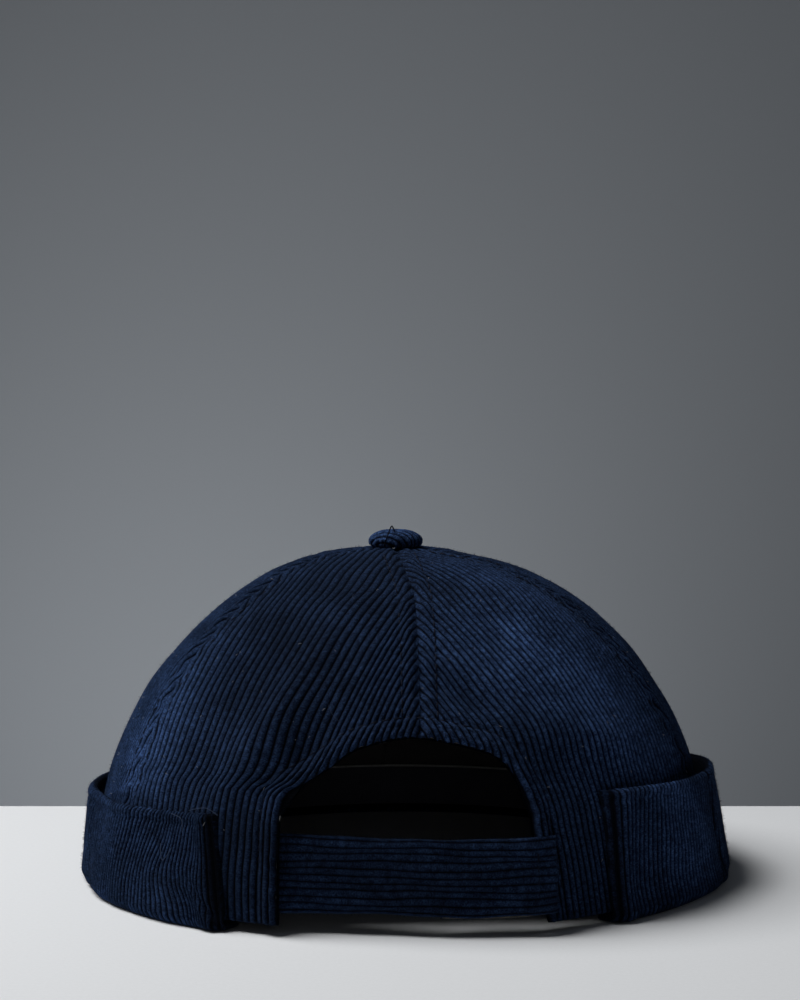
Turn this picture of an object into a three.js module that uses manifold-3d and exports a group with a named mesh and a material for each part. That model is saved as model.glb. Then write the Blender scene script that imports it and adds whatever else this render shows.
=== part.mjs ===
// A docker cap: a brimless corduroy cap of six panels under a covered button, with a turned-up cuff.
// Millimetres, +Z up. The origin is on the table under the middle of the cap.
// The back, with its arched opening and strap, faces -Y. Left and right are the wearer's.
// A turn is an angle round the cap in degrees: 0 at the middle of the back, 90 at the right side.
// A climb is an angle up the crown in degrees: 0 at the table, 90 at the button.

import * as THREE from "three";
import { mergeVertices } from "three/addons/utils/BufferGeometryUtils.js";
import Module from "manifold-3d";

const wasm = await Module();
wasm.setup();

// Fit between neighbouring pieces
const clearance = 0.3;

// Crown. apexShiftShare, foldFadeShare and foldGoneShare are shares of its height.
const crownHalfWidth = 91;
const crownHalfDepth = 100.6;
const crownHeight = 95.5;
const crownWall = 1.5;
const crownShift = -0.7;
const crownSetBack = 4.7;
const apexShift = -2.2;
const apexHole = 2.8;
const apexShiftShare = 0.88;
const foldDepth = 2.4;
const foldFadeShare = 0.96;
const foldGoneShare = 0.995;
const roundUp = 1.916;
const roundAcross = 2.249;

// Cuff. cuffLipShare is a share of cuffWall, cuffCrowdingShare gathers its stations towards its two ends.
const cuffHeight = 33.8;
const cuffWall = 2.4;
const cuffGapTop = 3.4;
const cuffGapBase = 1.9;
const cuffHollow = 0.9;
const cuffTurnRadius = 3;
const cuffHem = 1;
const cuffLipShare = 0.3;
const cuffCrowdingShare = 0.5;

// Back opening and the facing inside its edge
const archHalfWidth = 33.2;
const archTop = 49.3;
const facingWall = 1;
const facingWidth = 8.5;
const facingSetBack = 0.7;

// Strap, its tab and the fastening patch. strapCrossing is a share of archHalfWidth.
const strapHeight = 19.6;
const strapWall = 1.9;
const strapLift = 5.2;
const strapOverlap = 5.6;
const strapDraw = 4.7;
const strapCrossing = 0.8;
const tabReach = 24.4;
const tabOverlap = 8.5;
const tabHeight = 19.2;
const tabWall = 1.7;
const tabLift = 4;
const patchWall = 1;
const patchMargin = 0.5;

// Sweatband
const sweatbandTop = 16.5;
const sweatbandWall = 1;
const sweatbandLean = 3.8;
const sweatbandGap = 2.8;

// Button
const buttonRadius = 7.5;
const buttonHeight = 4.9;

// How finely the curved pieces are divided and measured
const panelColumns = 12;
const panelRows = 16;
const cuffStations = 50;
const sweatbandStations = 36;
const archStations = 28;
const strapStations = 16;
const bandRows = 2;
const buttonSides = 20;
const probeStep = 0.05;
const wallPasses = 8;
const weld = 1e-4;

// The lower edge of the crown stands on the turn of the cuff
const rimHeight = cuffWall + clearance;

// Seams between the panels: turn at the table, and how far the seam leans over the crown's height
const seams = {
  back: { turn: 2.2, lean: 2 },
  backRight: { turn: 77, lean: -12 },
  frontRight: { turn: 129, lean: 0 },
  front: { turn: 184, lean: 0 },
  frontLeft: { turn: 240, lean: 0 },
  backLeft: { turn: 300, lean: -4 },
};

// Dents and ridges of the crown. `share` is a height as a share of the crown's, `tall` its reach up
// and down, `wide` its reach round in degrees, `lean` degrees per share, `out` a share of foldDepth.
const folds = [
  { turn: -27, share: 0.55, wide: 4.5, tall: 0.24, lean: 33, out: 1.0 },
  { turn: -19, share: 0.48, wide: 4.5, tall: 0.11, lean: 45, out: -1.0 },
  { turn: -40, share: 0.5, wide: 6, tall: 0.2, lean: 20, out: -0.5 },
  { turn: 12, share: 0.64, wide: 8, tall: 0.08, lean: -50, out: -0.9 },
  { turn: 33, share: 0.53, wide: 13, tall: 0.07, lean: -150, out: 0.6 },
  { turn: 30, share: 0.4, wide: 10, tall: 0.1, lean: 0, out: -0.5 },
  { turn: 45, share: 0.86, wide: 16, tall: 0.12, lean: -60, out: 0.4 },
  { turn: -90, share: 0.93, wide: 50, tall: 0.07, lean: 0, out: 0.3 },
  { turn: 52, share: 0, wide: 24, tall: 0.4, lean: 0, out: -1.0 },
  { turn: -48, share: 0, wide: 22, tall: 0.35, lean: 0, out: 0.5 },
  { turn: 150, share: 0.75, wide: 12, tall: 0.15, lean: 30, out: -0.6 },
  { turn: 215, share: 0.6, wide: 10, tall: 0.2, lean: -20, out: 0.5 },
];

// The cuff round the cap: height as a share of cuffHeight, gaps at its foot and at its lip as shares
// of cuffGapBase and cuffGapTop
const cuffRows = [
  { turn: 38, tall: 1.02, base: 0.3, top: 0.1 },
  { turn: 46, tall: 1.01, base: 0.8, top: 0.5 },
  { turn: 60, tall: 0.98, base: 1.4, top: 0.9 },
  { turn: 88, tall: 0.95, base: 1.7, top: 1.05 },
  { turn: 112, tall: 0.86, base: 1.5, top: 0.95 },
  { turn: 180, tall: 0.92, base: 1.0, top: 1.0 },
  { turn: 245, tall: 0.74, base: 0.6, top: 0.8 },
  { turn: 270, tall: 0.785, base: 0.35, top: 0.7 },
  { turn: 300, tall: 0.82, base: 0.4, top: 0.7 },
  { turn: 316, tall: 0.85, base: 0.5, top: 0.45 },
  { turn: 326, tall: 0.87, base: 0.5, top: 0.1 },
];

// The cuff's two ends: their turns at the table and at the cuff's top edge
const cuffEnds = {
  right: { base: 37, top: 38 },
  left: { base: 330.5, top: 326.3 },
};

// Soft waves of the cuff's wall: `out` is a share of the cuff's top gap
const cuffWaves = [
  { turn: 302, wide: 5, out: 0.22 },
  { turn: 311, wide: 4, out: -0.2 },
  { turn: 290, wide: 6, out: -0.15 },
  { turn: 66, wide: 8, out: -0.12 },
  { turn: 110, wide: 9, out: 0.15 },
  { turn: 165, wide: 12, out: 0.12 },
  { turn: 245, wide: 9, out: -0.12 },
];

// The edge of the back opening: `across` is a share of archHalfWidth, `up` a share of archTop
const archRows = [
  { across: -1.0, up: 0 },
  { across: -1.0, up: 0.5 },
  { across: -0.97, up: 0.66 },
  { across: -0.8, up: 0.753 },
  { across: -0.36, up: 0.94 },
  { across: 0.05, up: 1.0 },
  { across: 0.5, up: 0.936 },
  { across: 0.72, up: 0.885 },
  { across: 0.92, up: 0.725 },
  { across: 1.0, up: 0.495 },
  { across: 1.12, up: 0.06 },
];

// The button's outline: `out` is a share of its radius, `up` a share of its height
const buttonRows = [
  { out: 0, up: 0 },
  { out: 0.86, up: 0 },
  { out: 0.97, up: 0.18 },
  { out: 1.0, up: 0.42 },
  { out: 0.95, up: 0.68 },
  { out: 0.8, up: 0.88 },
  { out: 0.5, up: 0.98 },
  { out: 0, up: 1 },
];

// Colours of the cloths
const corduroyColour = 0x1c2a46;
const facingColour = 0x6f6a60;
const patchColour = 0x4a493f;

const toRadians = THREE.MathUtils.degToRad;
const toDegrees = THREE.MathUtils.radToDeg;
const lerp = THREE.MathUtils.lerp;
const smoothstep = THREE.MathUtils.smoothstep;

function bell(value) {
  return Math.exp(-value * value);
}

// The smaller angle from one turn to another, between -180 and 180 degrees
function turnFrom(start, end) {
  return THREE.MathUtils.euclideanModulo(end - start + 180, 360) - 180;
}

// A column of a table, read smoothly at a place between its rows
function readTable(rows, key, place, column) {
  const places = rows.map((row) => row[key]);
  const values = rows.map((row) => row[column]);
  return new THREE.CubicInterpolant(places, values, 1, [0]).evaluate(place)[0];
}

// The climb at which the crown reaches a share of its height
function climbAt(share) {
  return toDegrees(Math.asin(Math.min(1, Math.max(0, share)) ** (roundUp / 2)));
}

// The crown before its folds: an ellipse at each height, rounded over to the top
function plainCrown(turn, climb) {
  const share = Math.sin(toRadians(climb)) ** (2 / roundUp);
  const reach = Math.cos(toRadians(climb)) ** (2 / roundAcross);
  const shift = crownShift + apexShift * smoothstep(share, apexShiftShare, 1);
  return new THREE.Vector3(
    shift + crownHalfWidth * reach * Math.sin(toRadians(turn)),
    -crownSetBack - crownHalfDepth * reach * Math.cos(toRadians(turn)),
    crownHeight * share,
  );
}

// How far the folds push the crown out at a place
function foldOut(turn, share) {
  let out = 0;
  for (const fold of folds) {
    const middle = fold.turn + fold.lean * (share - fold.share);
    const across = turnFrom(middle, turn) / fold.wide;
    const along = (share - fold.share) / fold.tall;
    out += foldDepth * fold.out * bell(across) * bell(along);
  }
  return out * (1 - smoothstep(share, foldFadeShare, foldGoneShare));
}

// A point of the crown, `out` millimetres outside its outer face
function crownPoint(turn, climb, out = 0) {
  const step = probeStep;
  const low = Math.min(Math.max(climb, step), 90 - 2 * step);
  const point = plainCrown(turn, climb);
  const round = plainCrown(turn + step, low).sub(plainCrown(turn - step, low));
  const up = plainCrown(turn, low + step).sub(plainCrown(turn, low - step));
  const normal = round.cross(up).normalize();
  const share = point.z / crownHeight;
  return point.addScaledVector(normal, foldOut(turn, share) + out);
}

// The point of the back wall at a given x and height, `out` millimetres outside its outer face
function backWall(x, z, out) {
  let turn = toDegrees(Math.asin(x / crownHalfWidth));
  let share = z / crownHeight;
  let point = crownPoint(turn, climbAt(share), out);
  for (let i = 0; i < wallPasses; i += 1) {
    turn += toDegrees((x - point.x) / crownHalfWidth);
    share += (z - point.z) / crownHeight;
    point = crownPoint(turn, climbAt(share), out);
  }
  return point;
}

// A closed body between two grids of points, `front` lying outside `back`
function wallBetween(front, back) {
  const positions = [];
  const rows = front.length;
  const columns = front[0].length;
  const triangle = (a, b, c) => positions.push(...a.toArray(), ...b.toArray(), ...c.toArray());
  const quad = (a, b, c, d) => {
    triangle(a, b, c);
    triangle(a, c, d);
  };
  for (let i = 0; i < rows - 1; i += 1) {
    for (let j = 0; j < columns - 1; j += 1) {
      quad(front[i][j], front[i][j + 1], front[i + 1][j + 1], front[i + 1][j]);
      quad(back[i][j], back[i + 1][j], back[i + 1][j + 1], back[i][j + 1]);
    }
  }
  for (let i = 0; i < rows - 1; i += 1) {
    const last = columns - 1;
    quad(front[i][0], front[i + 1][0], back[i + 1][0], back[i][0]);
    quad(front[i][last], back[i][last], back[i + 1][last], front[i + 1][last]);
  }
  for (let j = 0; j < columns - 1; j += 1) {
    const last = rows - 1;
    quad(front[0][j], back[0][j], back[0][j + 1], front[0][j + 1]);
    quad(front[last][j], front[last][j + 1], back[last][j + 1], back[last][j]);
  }
  const geometry = new THREE.BufferGeometry();
  geometry.setAttribute("position", new THREE.Float32BufferAttribute(positions, 3));
  return geometry;
}

// A grid of points from a function of the row's share and the column's share
function grid(rows, columns, pointAt) {
  const points = [];
  for (let i = 0; i <= rows; i += 1) {
    const row = [];
    for (let j = 0; j <= columns; j += 1) {
      row.push(pointAt(i / rows, j / columns));
    }
    points.push(row);
  }
  return points;
}

// A closed mesh as a solid for cutting
function solidOf(geometry) {
  const bare = geometry.clone();
  bare.deleteAttribute("normal");
  bare.deleteAttribute("uv");
  const merged = mergeVertices(bare, weld);
  const mesh = new wasm.Mesh({
    numProp: 3,
    vertProperties: new Float32Array(merged.getAttribute("position").array),
    triVerts: new Uint32Array(merged.getIndex().array),
  });
  return new wasm.Manifold(mesh);
}

// A solid back as a mesh
function geometryOf(solid) {
  const mesh = solid.getMesh();
  const geometry = new THREE.BufferGeometry();
  geometry.setAttribute("position", new THREE.BufferAttribute(new Float32Array(mesh.vertProperties), 3));
  geometry.setIndex(new THREE.BufferAttribute(new Uint32Array(mesh.triVerts), 1));
  return geometry;
}

function clothMaterial(colour) {
  return new THREE.MeshStandardMaterial({ color: colour, roughness: 0.95, metalness: 0 });
}

const cap = new THREE.Group();
cap.name = "docker_cap";

function addPiece(name, geometry, colour) {
  geometry.computeVertexNormals();
  const mesh = new THREE.Mesh(geometry, clothMaterial(colour));
  mesh.name = name;
  cap.add(mesh);
  return mesh;
}

// The edge of the back opening, as a curve in the XZ plane, and the same edge moved outwards
const archCurve = new THREE.SplineCurve(
  archRows.map((row) => new THREE.Vector2(row.across * archHalfWidth, row.up * archTop)),
);
function archEdge(outwards) {
  const points = [];
  for (let i = 0; i <= archStations; i += 1) {
    const place = archCurve.getPointAt(i / archStations);
    const tangent = archCurve.getTangentAt(i / archStations);
    points.push(new THREE.Vector2(place.x - tangent.y * outwards, place.y + tangent.x * outwards));
  }
  const first = points[0];
  const last = points[archStations];
  return [new THREE.Vector2(first.x, -archTop / 2), ...points, new THREE.Vector2(last.x, -archTop / 2)];
}

// An outline of the XZ plane as a block through the back wall alone
function throughBack(outline) {
  const block = new THREE.ExtrudeGeometry(new THREE.Shape(outline), {
    depth: crownHalfDepth,
    bevelEnabled: false,
  });
  return block.rotateX(Math.PI / 2).translate(0, -crownHalfDepth / 4, 0);
}

// The points of one panel, from one seam round to the next, `out` millimetres outside its outer face
function panelPoints(start, end, out) {
  const lowest = climbAt(rimHeight / crownHeight);
  const highest = toDegrees(Math.acos((apexHole / crownHalfWidth) ** (roundAcross / 2)));
  const sweep = THREE.MathUtils.euclideanModulo(end.turn - start.turn, 360);
  return grid(panelRows, panelColumns, (up, along) => {
    const climb = lerp(lowest, highest, up);
    const share = Math.sin(toRadians(climb)) ** (2 / roundUp);
    const reach = Math.cos(toRadians(climb)) ** (2 / roundAcross);
    const halfGap = toDegrees(clearance / 2 / (crownHalfWidth * reach));
    const from = start.turn + start.lean * share + halfGap;
    const to = start.turn + sweep + end.lean * share - halfGap;
    return crownPoint(lerp(from, to, along), climb, out);
  });
}

const panels = [
  { name: "panel_back_left", from: seams.backLeft, to: seams.back, open: true },
  { name: "panel_back_right", from: seams.back, to: seams.backRight, open: true },
  { name: "panel_side_right", from: seams.backRight, to: seams.frontRight, open: false },
  { name: "panel_front_right", from: seams.frontRight, to: seams.front, open: false },
  { name: "panel_front_left", from: seams.front, to: seams.frontLeft, open: false },
  { name: "panel_side_left", from: seams.frontLeft, to: seams.backLeft, open: false },
];
for (const panel of panels) {
  const outer = panelPoints(panel.from, panel.to, 0);
  const inner = panelPoints(panel.from, panel.to, -crownWall);
  let solid = solidOf(wallBetween(outer, inner));
  if (panel.open) solid = solid.subtract(solidOf(throughBack(archEdge(0))));
  addPiece(panel.name, geometryOf(solid), corduroyColour);
}

// A strip inside the two back panels, along the edge of the opening
function facingPoints(out) {
  const left = panelPoints(seams.backLeft, seams.back, out);
  const right = panelPoints(seams.back, seams.backRight, out);
  return left.map((row, i) => row.concat(right[i]));
}
const facingOut = -(crownWall + clearance);
const facingShell = solidOf(wallBetween(facingPoints(facingOut), facingPoints(facingOut - facingWall)));
const facingOutline = archEdge(facingSetBack + facingWidth).concat(archEdge(facingSetBack).reverse());
const facing = facingShell.intersect(solidOf(throughBack(facingOutline)));
addPiece("opening_facing", geometryOf(facing), facingColour);

// The horizontal direction out of the cap at a turn
function outward(turn) {
  return new THREE.Vector3(
    Math.sin(toRadians(turn)) / crownHalfWidth,
    -Math.cos(toRadians(turn)) / crownHalfDepth,
    0,
  ).normalize();
}

// A point at a height, `out` millimetres straight out of the crown's outer face
function besideCrown(turn, height, out) {
  const share = Math.max(height, rimHeight) / crownHeight;
  const point = crownPoint(turn, climbAt(share));
  return point.addScaledVector(outward(turn), out).setZ(height);
}

// The gap between the crown and the inner face of the cuff, `up` running from the bend to the lip
const cuffInnerRadius = cuffTurnRadius - cuffWall;
function cuffGap(turn, up) {
  const base = clearance + cuffInnerRadius + cuffGapBase * readTable(cuffRows, "turn", turn, "base");
  let top = clearance + cuffGapTop * readTable(cuffRows, "turn", turn, "top");
  for (const wave of cuffWaves) {
    top += cuffGapTop * wave.out * bell(turnFrom(wave.turn, turn) / wave.wide);
  }
  const hollow = cuffHollow * 4 * up * (1 - up);
  return Math.max(clearance, lerp(base, top, up) - hollow);
}

// One face of the cuff's doubled cloth: in along the table, round the bend, up the wall, over the lip
function cuffFace(side) {
  const radius = side === "outer" ? cuffTurnRadius : cuffInnerRadius;
  const thick = side === "outer" ? cuffWall : 0;
  const lip = (cuffWall * (side === "outer" ? 1 + cuffLipShare : 1 - cuffLipShare)) / 2;
  const inside = crownWall + clearance + sweatbandWall + cuffHem;
  const steps = [
    { part: "foot" },
    { part: "bend", share: 0 },
    { part: "bend", share: 1 / 3 },
    { part: "bend", share: 2 / 3 },
    { part: "bend", share: 1 },
    { part: "wall", share: 0.35 },
    { part: "wall", share: 0.7 },
    { part: "wall", share: 0.95 },
    { part: "lip" },
  ];
  const pointAt = (row, column) => {
    const step = steps[Math.round(row * (steps.length - 1))];
    const crowded = column - (cuffCrowdingShare * Math.sin(2 * Math.PI * column)) / (2 * Math.PI);
    const middleTurn = lerp(cuffEnds.right.top, cuffEnds.left.top, crowded);
    const tall = cuffHeight * readTable(cuffRows, "turn", middleTurn, "tall");
    const angle = toRadians(90 * (step.share ?? 0));
    let height = cuffTurnRadius - radius * Math.cos(angle);
    if (step.part === "wall") height = lerp(cuffTurnRadius, tall, step.share);
    if (step.part === "lip") height = tall;
    const up = Math.max(0, (height - cuffTurnRadius) / (tall - cuffTurnRadius));
    const start = lerp(cuffEnds.right.base, cuffEnds.right.top, up);
    const end = lerp(cuffEnds.left.base, cuffEnds.left.top, up);
    const turn = lerp(start, end, crowded);
    const bendOut = cuffGap(turn, 0) + cuffWall - cuffTurnRadius;
    let out = bendOut + radius * Math.sin(angle);
    if (step.part === "foot") out = -inside;
    if (step.part === "wall") out = cuffGap(turn, up) + thick;
    if (step.part === "lip") out = cuffGap(turn, up) + lip;
    return besideCrown(turn, height, out);
  };
  return grid(steps.length - 1, cuffStations, pointAt);
}
addPiece("cuff", wallBetween(cuffFace("outer"), cuffFace("inner")), corduroyColour);

// The sweatband stands inside the crown on the turn of the cuff and leans inwards towards its top.
// It stops short of the facing on both sides of the opening.
const facingReach = archHalfWidth * archRows[archRows.length - 1].across + facingSetBack + facingWidth;
const sweatbandEnd = toDegrees(Math.asin((facingReach + sweatbandGap - crownShift) / crownHalfWidth));
function sweatbandFace(depth) {
  return grid(bandRows, sweatbandStations, (up, along) => {
    const turn = lerp(sweatbandEnd, 360 - sweatbandEnd, along);
    const height = lerp(rimHeight, sweatbandTop, up);
    const out = crownWall + clearance + depth + sweatbandLean * up;
    return besideCrown(turn, height, -out);
  });
}
addPiece("sweatband", wallBetween(sweatbandFace(0), sweatbandFace(sweatbandWall)), facingColour);

// A flat band across the back, following the crown, with its outer face at outAt(x)
function backBand(from, to, lift, height, wall, outAt) {
  const face = (depth) => grid(bandRows, strapStations, (up, along) => {
    const x = lerp(from, to, along);
    return backWall(x, lift + height * up, outAt(x) - depth);
  });
  return wallBetween(face(0), face(wall));
}

// The strap passes from inside the left edge of the opening to outside the right edge, drawn tight
// across the opening, so its middle lies inside the curve of the crown
const behindFacing = -(crownWall + facingWall + 2 * clearance);
function strapOut(x) {
  const reach = strapCrossing * archHalfWidth;
  const crossing = smoothstep(x, -reach, reach);
  const drawn = strapDraw * Math.max(0, 1 - (x / archHalfWidth) ** 2);
  return lerp(behindFacing, clearance + strapWall, crossing) - drawn;
}
const strapEnd = archHalfWidth + strapOverlap;
addPiece(
  "strap",
  backBand(-strapEnd, strapEnd, strapLift, strapHeight, strapWall, strapOut),
  corduroyColour,
);

// The tab comes from inside the right edge and carries the patch that the strap closes on
function tabOut(x) {
  return Math.min(behindFacing, strapOut(x) - strapWall - patchWall - 2 * clearance);
}
const tabStart = archHalfWidth - tabReach;
const tabEnd = archHalfWidth + tabOverlap;
addPiece(
  "strap_tab",
  backBand(tabStart, tabEnd, tabLift, tabHeight, tabWall, tabOut),
  corduroyColour,
);
addPiece(
  "fastening_patch",
  backBand(
    tabStart + patchMargin,
    archHalfWidth - patchMargin,
    tabLift + patchMargin,
    tabHeight - 2 * patchMargin,
    patchWall,
    (x) => tabOut(x) + clearance + patchWall,
  ),
  patchColour,
);

// The covered button sits on the meeting point of the six panels
const buttonOutline = buttonRows.map(
  (row) => new THREE.Vector2(row.out * buttonRadius, row.up * buttonHeight),
);
const button = addPiece(
  "button",
  new THREE.LatheGeometry(buttonOutline, buttonSides).rotateX(Math.PI / 2),
  corduroyColour,
);
button.position.set(crownShift + apexShift, -crownSetBack, crownHeight + clearance);

export default cap;
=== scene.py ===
# %% [markdown]
# # A corduroy docker cap, sewn in Blender
#
# A docker cap is a brimless cap: six panels under a covered button, a cuff turned up round the
# rim, and an arched opening at the back that a strap closes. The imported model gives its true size
# and place. This lesson dresses it in ribbed cloth, piece by piece, in the order a maker sews it.

# %% The frame and its box
import math
from collections import namedtuple

import bmesh
import bpy
import numpy as np
from mathutils import Euler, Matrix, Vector


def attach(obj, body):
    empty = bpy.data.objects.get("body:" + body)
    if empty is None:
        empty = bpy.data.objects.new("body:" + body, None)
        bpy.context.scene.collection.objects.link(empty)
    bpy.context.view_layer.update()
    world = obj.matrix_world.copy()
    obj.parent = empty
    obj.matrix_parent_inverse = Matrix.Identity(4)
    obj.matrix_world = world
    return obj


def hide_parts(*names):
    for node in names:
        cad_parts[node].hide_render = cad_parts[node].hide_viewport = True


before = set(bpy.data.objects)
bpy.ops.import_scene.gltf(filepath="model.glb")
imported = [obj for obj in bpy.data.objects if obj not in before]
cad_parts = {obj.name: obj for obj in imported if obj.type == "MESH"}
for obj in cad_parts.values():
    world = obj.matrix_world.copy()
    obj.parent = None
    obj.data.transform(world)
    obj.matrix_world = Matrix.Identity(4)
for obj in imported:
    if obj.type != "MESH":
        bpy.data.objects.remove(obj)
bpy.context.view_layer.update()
MM = 0.001

# %% [markdown]
# ## The camera first
#
# The photograph looks at the back of the cap from a little above it, from far away, so the lens is
# long and the lines hardly converge. The camera comes first because every piece is judged through
# it. Its place was worked out from the cap's outline and from the line where the cuff meets the
# table.

# %% The camera
IMAGE_HEIGHT = 1000
FOCAL_PIXELS = 2205
CAMERA_PLACE = (-1.6, -662.7, 127.0)
CAMERA_PITCH = 1.5
SENSOR = 36.0


def add_object(name, data):
    """A new object in the scene, from a camera, a mesh or a light."""
    made = bpy.data.objects.new(name, data)
    bpy.context.scene.collection.objects.link(made)
    return made


camera_data = bpy.data.cameras.new("view_of_the_back")
camera_data.sensor_width = SENSOR
camera_data.lens = FOCAL_PIXELS / IMAGE_HEIGHT * SENSOR
camera = add_object("view_of_the_back", camera_data)
camera.location = Vector(CAMERA_PLACE) * MM
camera.rotation_euler = Euler((math.radians(90 - CAMERA_PITCH), 0, 0))
bpy.context.scene.camera = camera
print("lens", round(camera_data.lens, 2), "mm")

# %% [markdown]
# ## The shape of the crown
#
# A crown is a half egg that soft cloth has dented. A formula gives the egg: at each height it is an
# ellipse, and two powers set how squarely it rounds over to the top. A short table gives the dents
# and ridges. Numpy works out thousands of points at once, and everything that touches the crown is
# measured from this one surface, so that neighbours always meet.

# %% Sizes of the crown in millimetres
HALF_WIDTH, HALF_DEPTH, HEIGHT = 91, 100.6, 95.5
SHIFT, SET_BACK, APEX_SHIFT, APEX_SHARE = -0.7, 4.7, -2.2, 0.88
ROUND_UP, ROUND_ACROSS = 1.916, 2.249
CROWN_WALL, CLEARANCE, RIM, APEX_HOLE = 1.5, 0.3, 2.7, 2.8
FOLD_DEPTH, FOLD_FADE = 2.4, (0.96, 0.995)

# %% Small helpers
def smoothstep(value, low, high):
    t = np.clip((value - low) / (high - low), 0, 1)
    return t * t * (3 - 2 * t)


def bell(value):
    return np.exp(-value * value)


def blend(low, high, share):
    return low + (high - low) * share


def turn_from(start, end):
    """The smaller angle from one turn to another."""
    return (end - start + 180) % 360 - 180


def soft_noise(places, size, seed, waves=14):
    """Smooth seeded noise between about -1 and 1, with features of the given size."""
    rng = np.random.default_rng(seed)
    places = np.asarray(places, float)
    directions = rng.normal(size=(waves, places.shape[-1]))
    directions /= np.linalg.norm(directions, axis=1)[:, None]
    lengths = size * rng.uniform(0.8, 2.4, waves)
    phases = rng.uniform(0, 2 * np.pi, waves)
    angles = places @ (directions / lengths[:, None] * 2 * np.pi).T + phases
    return np.sin(angles).sum(-1) / np.sqrt(waves)


Ripple = namedtuple("Ripple", "out size seed")
Hump = namedtuple("Hump", "out place wide")


def add_ripples(relief, points, ripples):
    """The relief with seeded waves of some heights and sizes."""
    for ripple in ripples:
        relief = relief + ripple.out * soft_noise(points, ripple.size, ripple.seed)
    return relief


def add_humps(relief, distance, humps):
    """The relief with humps, or hollows where `out` is below nothing, beside a line."""
    for hump in humps:
        relief = relief + hump.out * bell((distance - hump.place) / hump.wide)
    return relief


def path_lengths(points):
    """How far along a line each of its points lies."""
    return np.concatenate([[0], np.cumsum(np.linalg.norm(np.diff(points, axis=0), axis=1))])


def unit_steps(points):
    """The direction of a line at each of its points."""
    steps = np.gradient(points, axis=0)
    return steps / np.linalg.norm(steps, axis=1)[:, None]


def read_line(places, lengths, points):
    """The points of a line at some lengths along it."""
    return np.stack([np.interp(places, lengths, column) for column in points.T], -1)


def to_the_left(steps):
    """The directions a quarter turn to the left of flat steps."""
    return np.stack([-steps[:, 1], steps[:, 0]], -1)


# %% The egg and its folds
Fold = namedtuple("Fold", "turn share wide tall lean out")
FOLDS = [
    Fold(-27, 0.55, 4.5, 0.24, 33, 1.0),
    Fold(-19, 0.48, 4.5, 0.11, 45, -1.0),
    Fold(-40, 0.5, 6, 0.2, 20, -0.5),
    Fold(12, 0.64, 8, 0.08, -50, -0.9),
    Fold(33, 0.53, 13, 0.07, -150, 0.6),
    Fold(30, 0.4, 10, 0.1, 0, -0.5),
    Fold(45, 0.86, 16, 0.12, -60, 0.4),
    Fold(-90, 0.93, 50, 0.07, 0, 0.3),
    Fold(52, 0, 24, 0.4, 0, -1.0),
    Fold(-48, 0, 22, 0.35, 0, 0.5),
    Fold(150, 0.75, 12, 0.15, 30, -0.6),
    Fold(215, 0.6, 10, 0.2, -20, 0.5),
]
print(len(FOLDS), "folds and dents")


def share_of(climb):
    return np.sin(np.radians(climb)) ** (2 / ROUND_UP)


def reach_of(climb):
    return np.maximum(np.cos(np.radians(climb)), 0) ** (2 / ROUND_ACROSS)


def climb_of(share):
    return np.degrees(np.arcsin(np.clip(share, 0, 1) ** (ROUND_UP / 2)))


def plain_crown(turn, climb):
    share, reach, angle = share_of(climb), reach_of(climb), np.radians(turn)
    x = SHIFT + APEX_SHIFT * smoothstep(share, APEX_SHARE, 1) + HALF_WIDTH * reach * np.sin(angle)
    y = -SET_BACK - HALF_DEPTH * reach * np.cos(angle)
    return np.stack(np.broadcast_arrays(x, y, HEIGHT * share), -1)


def fold_out(turn, share):
    out = 0
    for fold in FOLDS:
        middle = fold.turn + fold.lean * (share - fold.share)
        across = turn_from(middle, turn) / fold.wide
        along = (share - fold.share) / fold.tall
        out = out + FOLD_DEPTH * fold.out * bell(across) * bell(along)
    return out * (1 - smoothstep(share, *FOLD_FADE))


# %% Points of the crown and its back wall
def crown_normal(turn, climb, step=0.05):
    low = np.clip(climb, step, 90 - 2 * step)
    across = plain_crown(turn + step, low) - plain_crown(turn - step, low)
    up = plain_crown(turn, low + step) - plain_crown(turn, low - step)
    normal = np.cross(across, up)
    return normal / np.linalg.norm(normal, axis=-1, keepdims=True)


def crown_point(turn, climb, out=0):
    """A point of the crown, `out` millimetres outside its outer face."""
    turn, climb, out = np.broadcast_arrays(np.asarray(turn, float), climb, out)
    push = fold_out(turn, share_of(climb)) + out
    return plain_crown(turn, climb) + crown_normal(turn, climb) * push[..., None]


def back_wall(x, z, out, passes=8):
    """The point of the back wall at a given x and height."""
    x, z, out = np.broadcast_arrays(np.asarray(x, float), z, out)
    turn = np.degrees(np.arcsin(x / HALF_WIDTH))
    share = z / HEIGHT
    for _ in range(passes):
        point = crown_point(turn, climb_of(share), out)
        turn = turn + np.degrees((x - point[..., 0]) / HALF_WIDTH)
        share = share + (z - point[..., 2]) / HEIGHT
    return crown_point(turn, climb_of(share), out)


def back_normal(x, z):
    """The way the back wall looks at a given x and height."""
    return crown_normal(np.degrees(np.arcsin(x / HALF_WIDTH)), climb_of(z / HEIGHT))


def outward(turn):
    angle = np.radians(turn)
    flat = np.stack([np.sin(angle) / HALF_WIDTH, -np.cos(angle) / HALF_DEPTH, 0 * angle], -1)
    return flat / np.linalg.norm(flat, axis=-1, keepdims=True)


def beside_crown(turn, height, out):
    """A point at a height, `out` millimetres straight out of the crown's outer face."""
    turn, height, out = np.broadcast_arrays(np.asarray(turn, float), height, out)
    point = crown_point(turn, climb_of(np.maximum(height, RIM) / HEIGHT))
    point = point + outward(turn) * out[..., None]
    point[..., 2] = height
    return point


print("top of the crown:", crown_point(0, 89.0).round(1))

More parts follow.
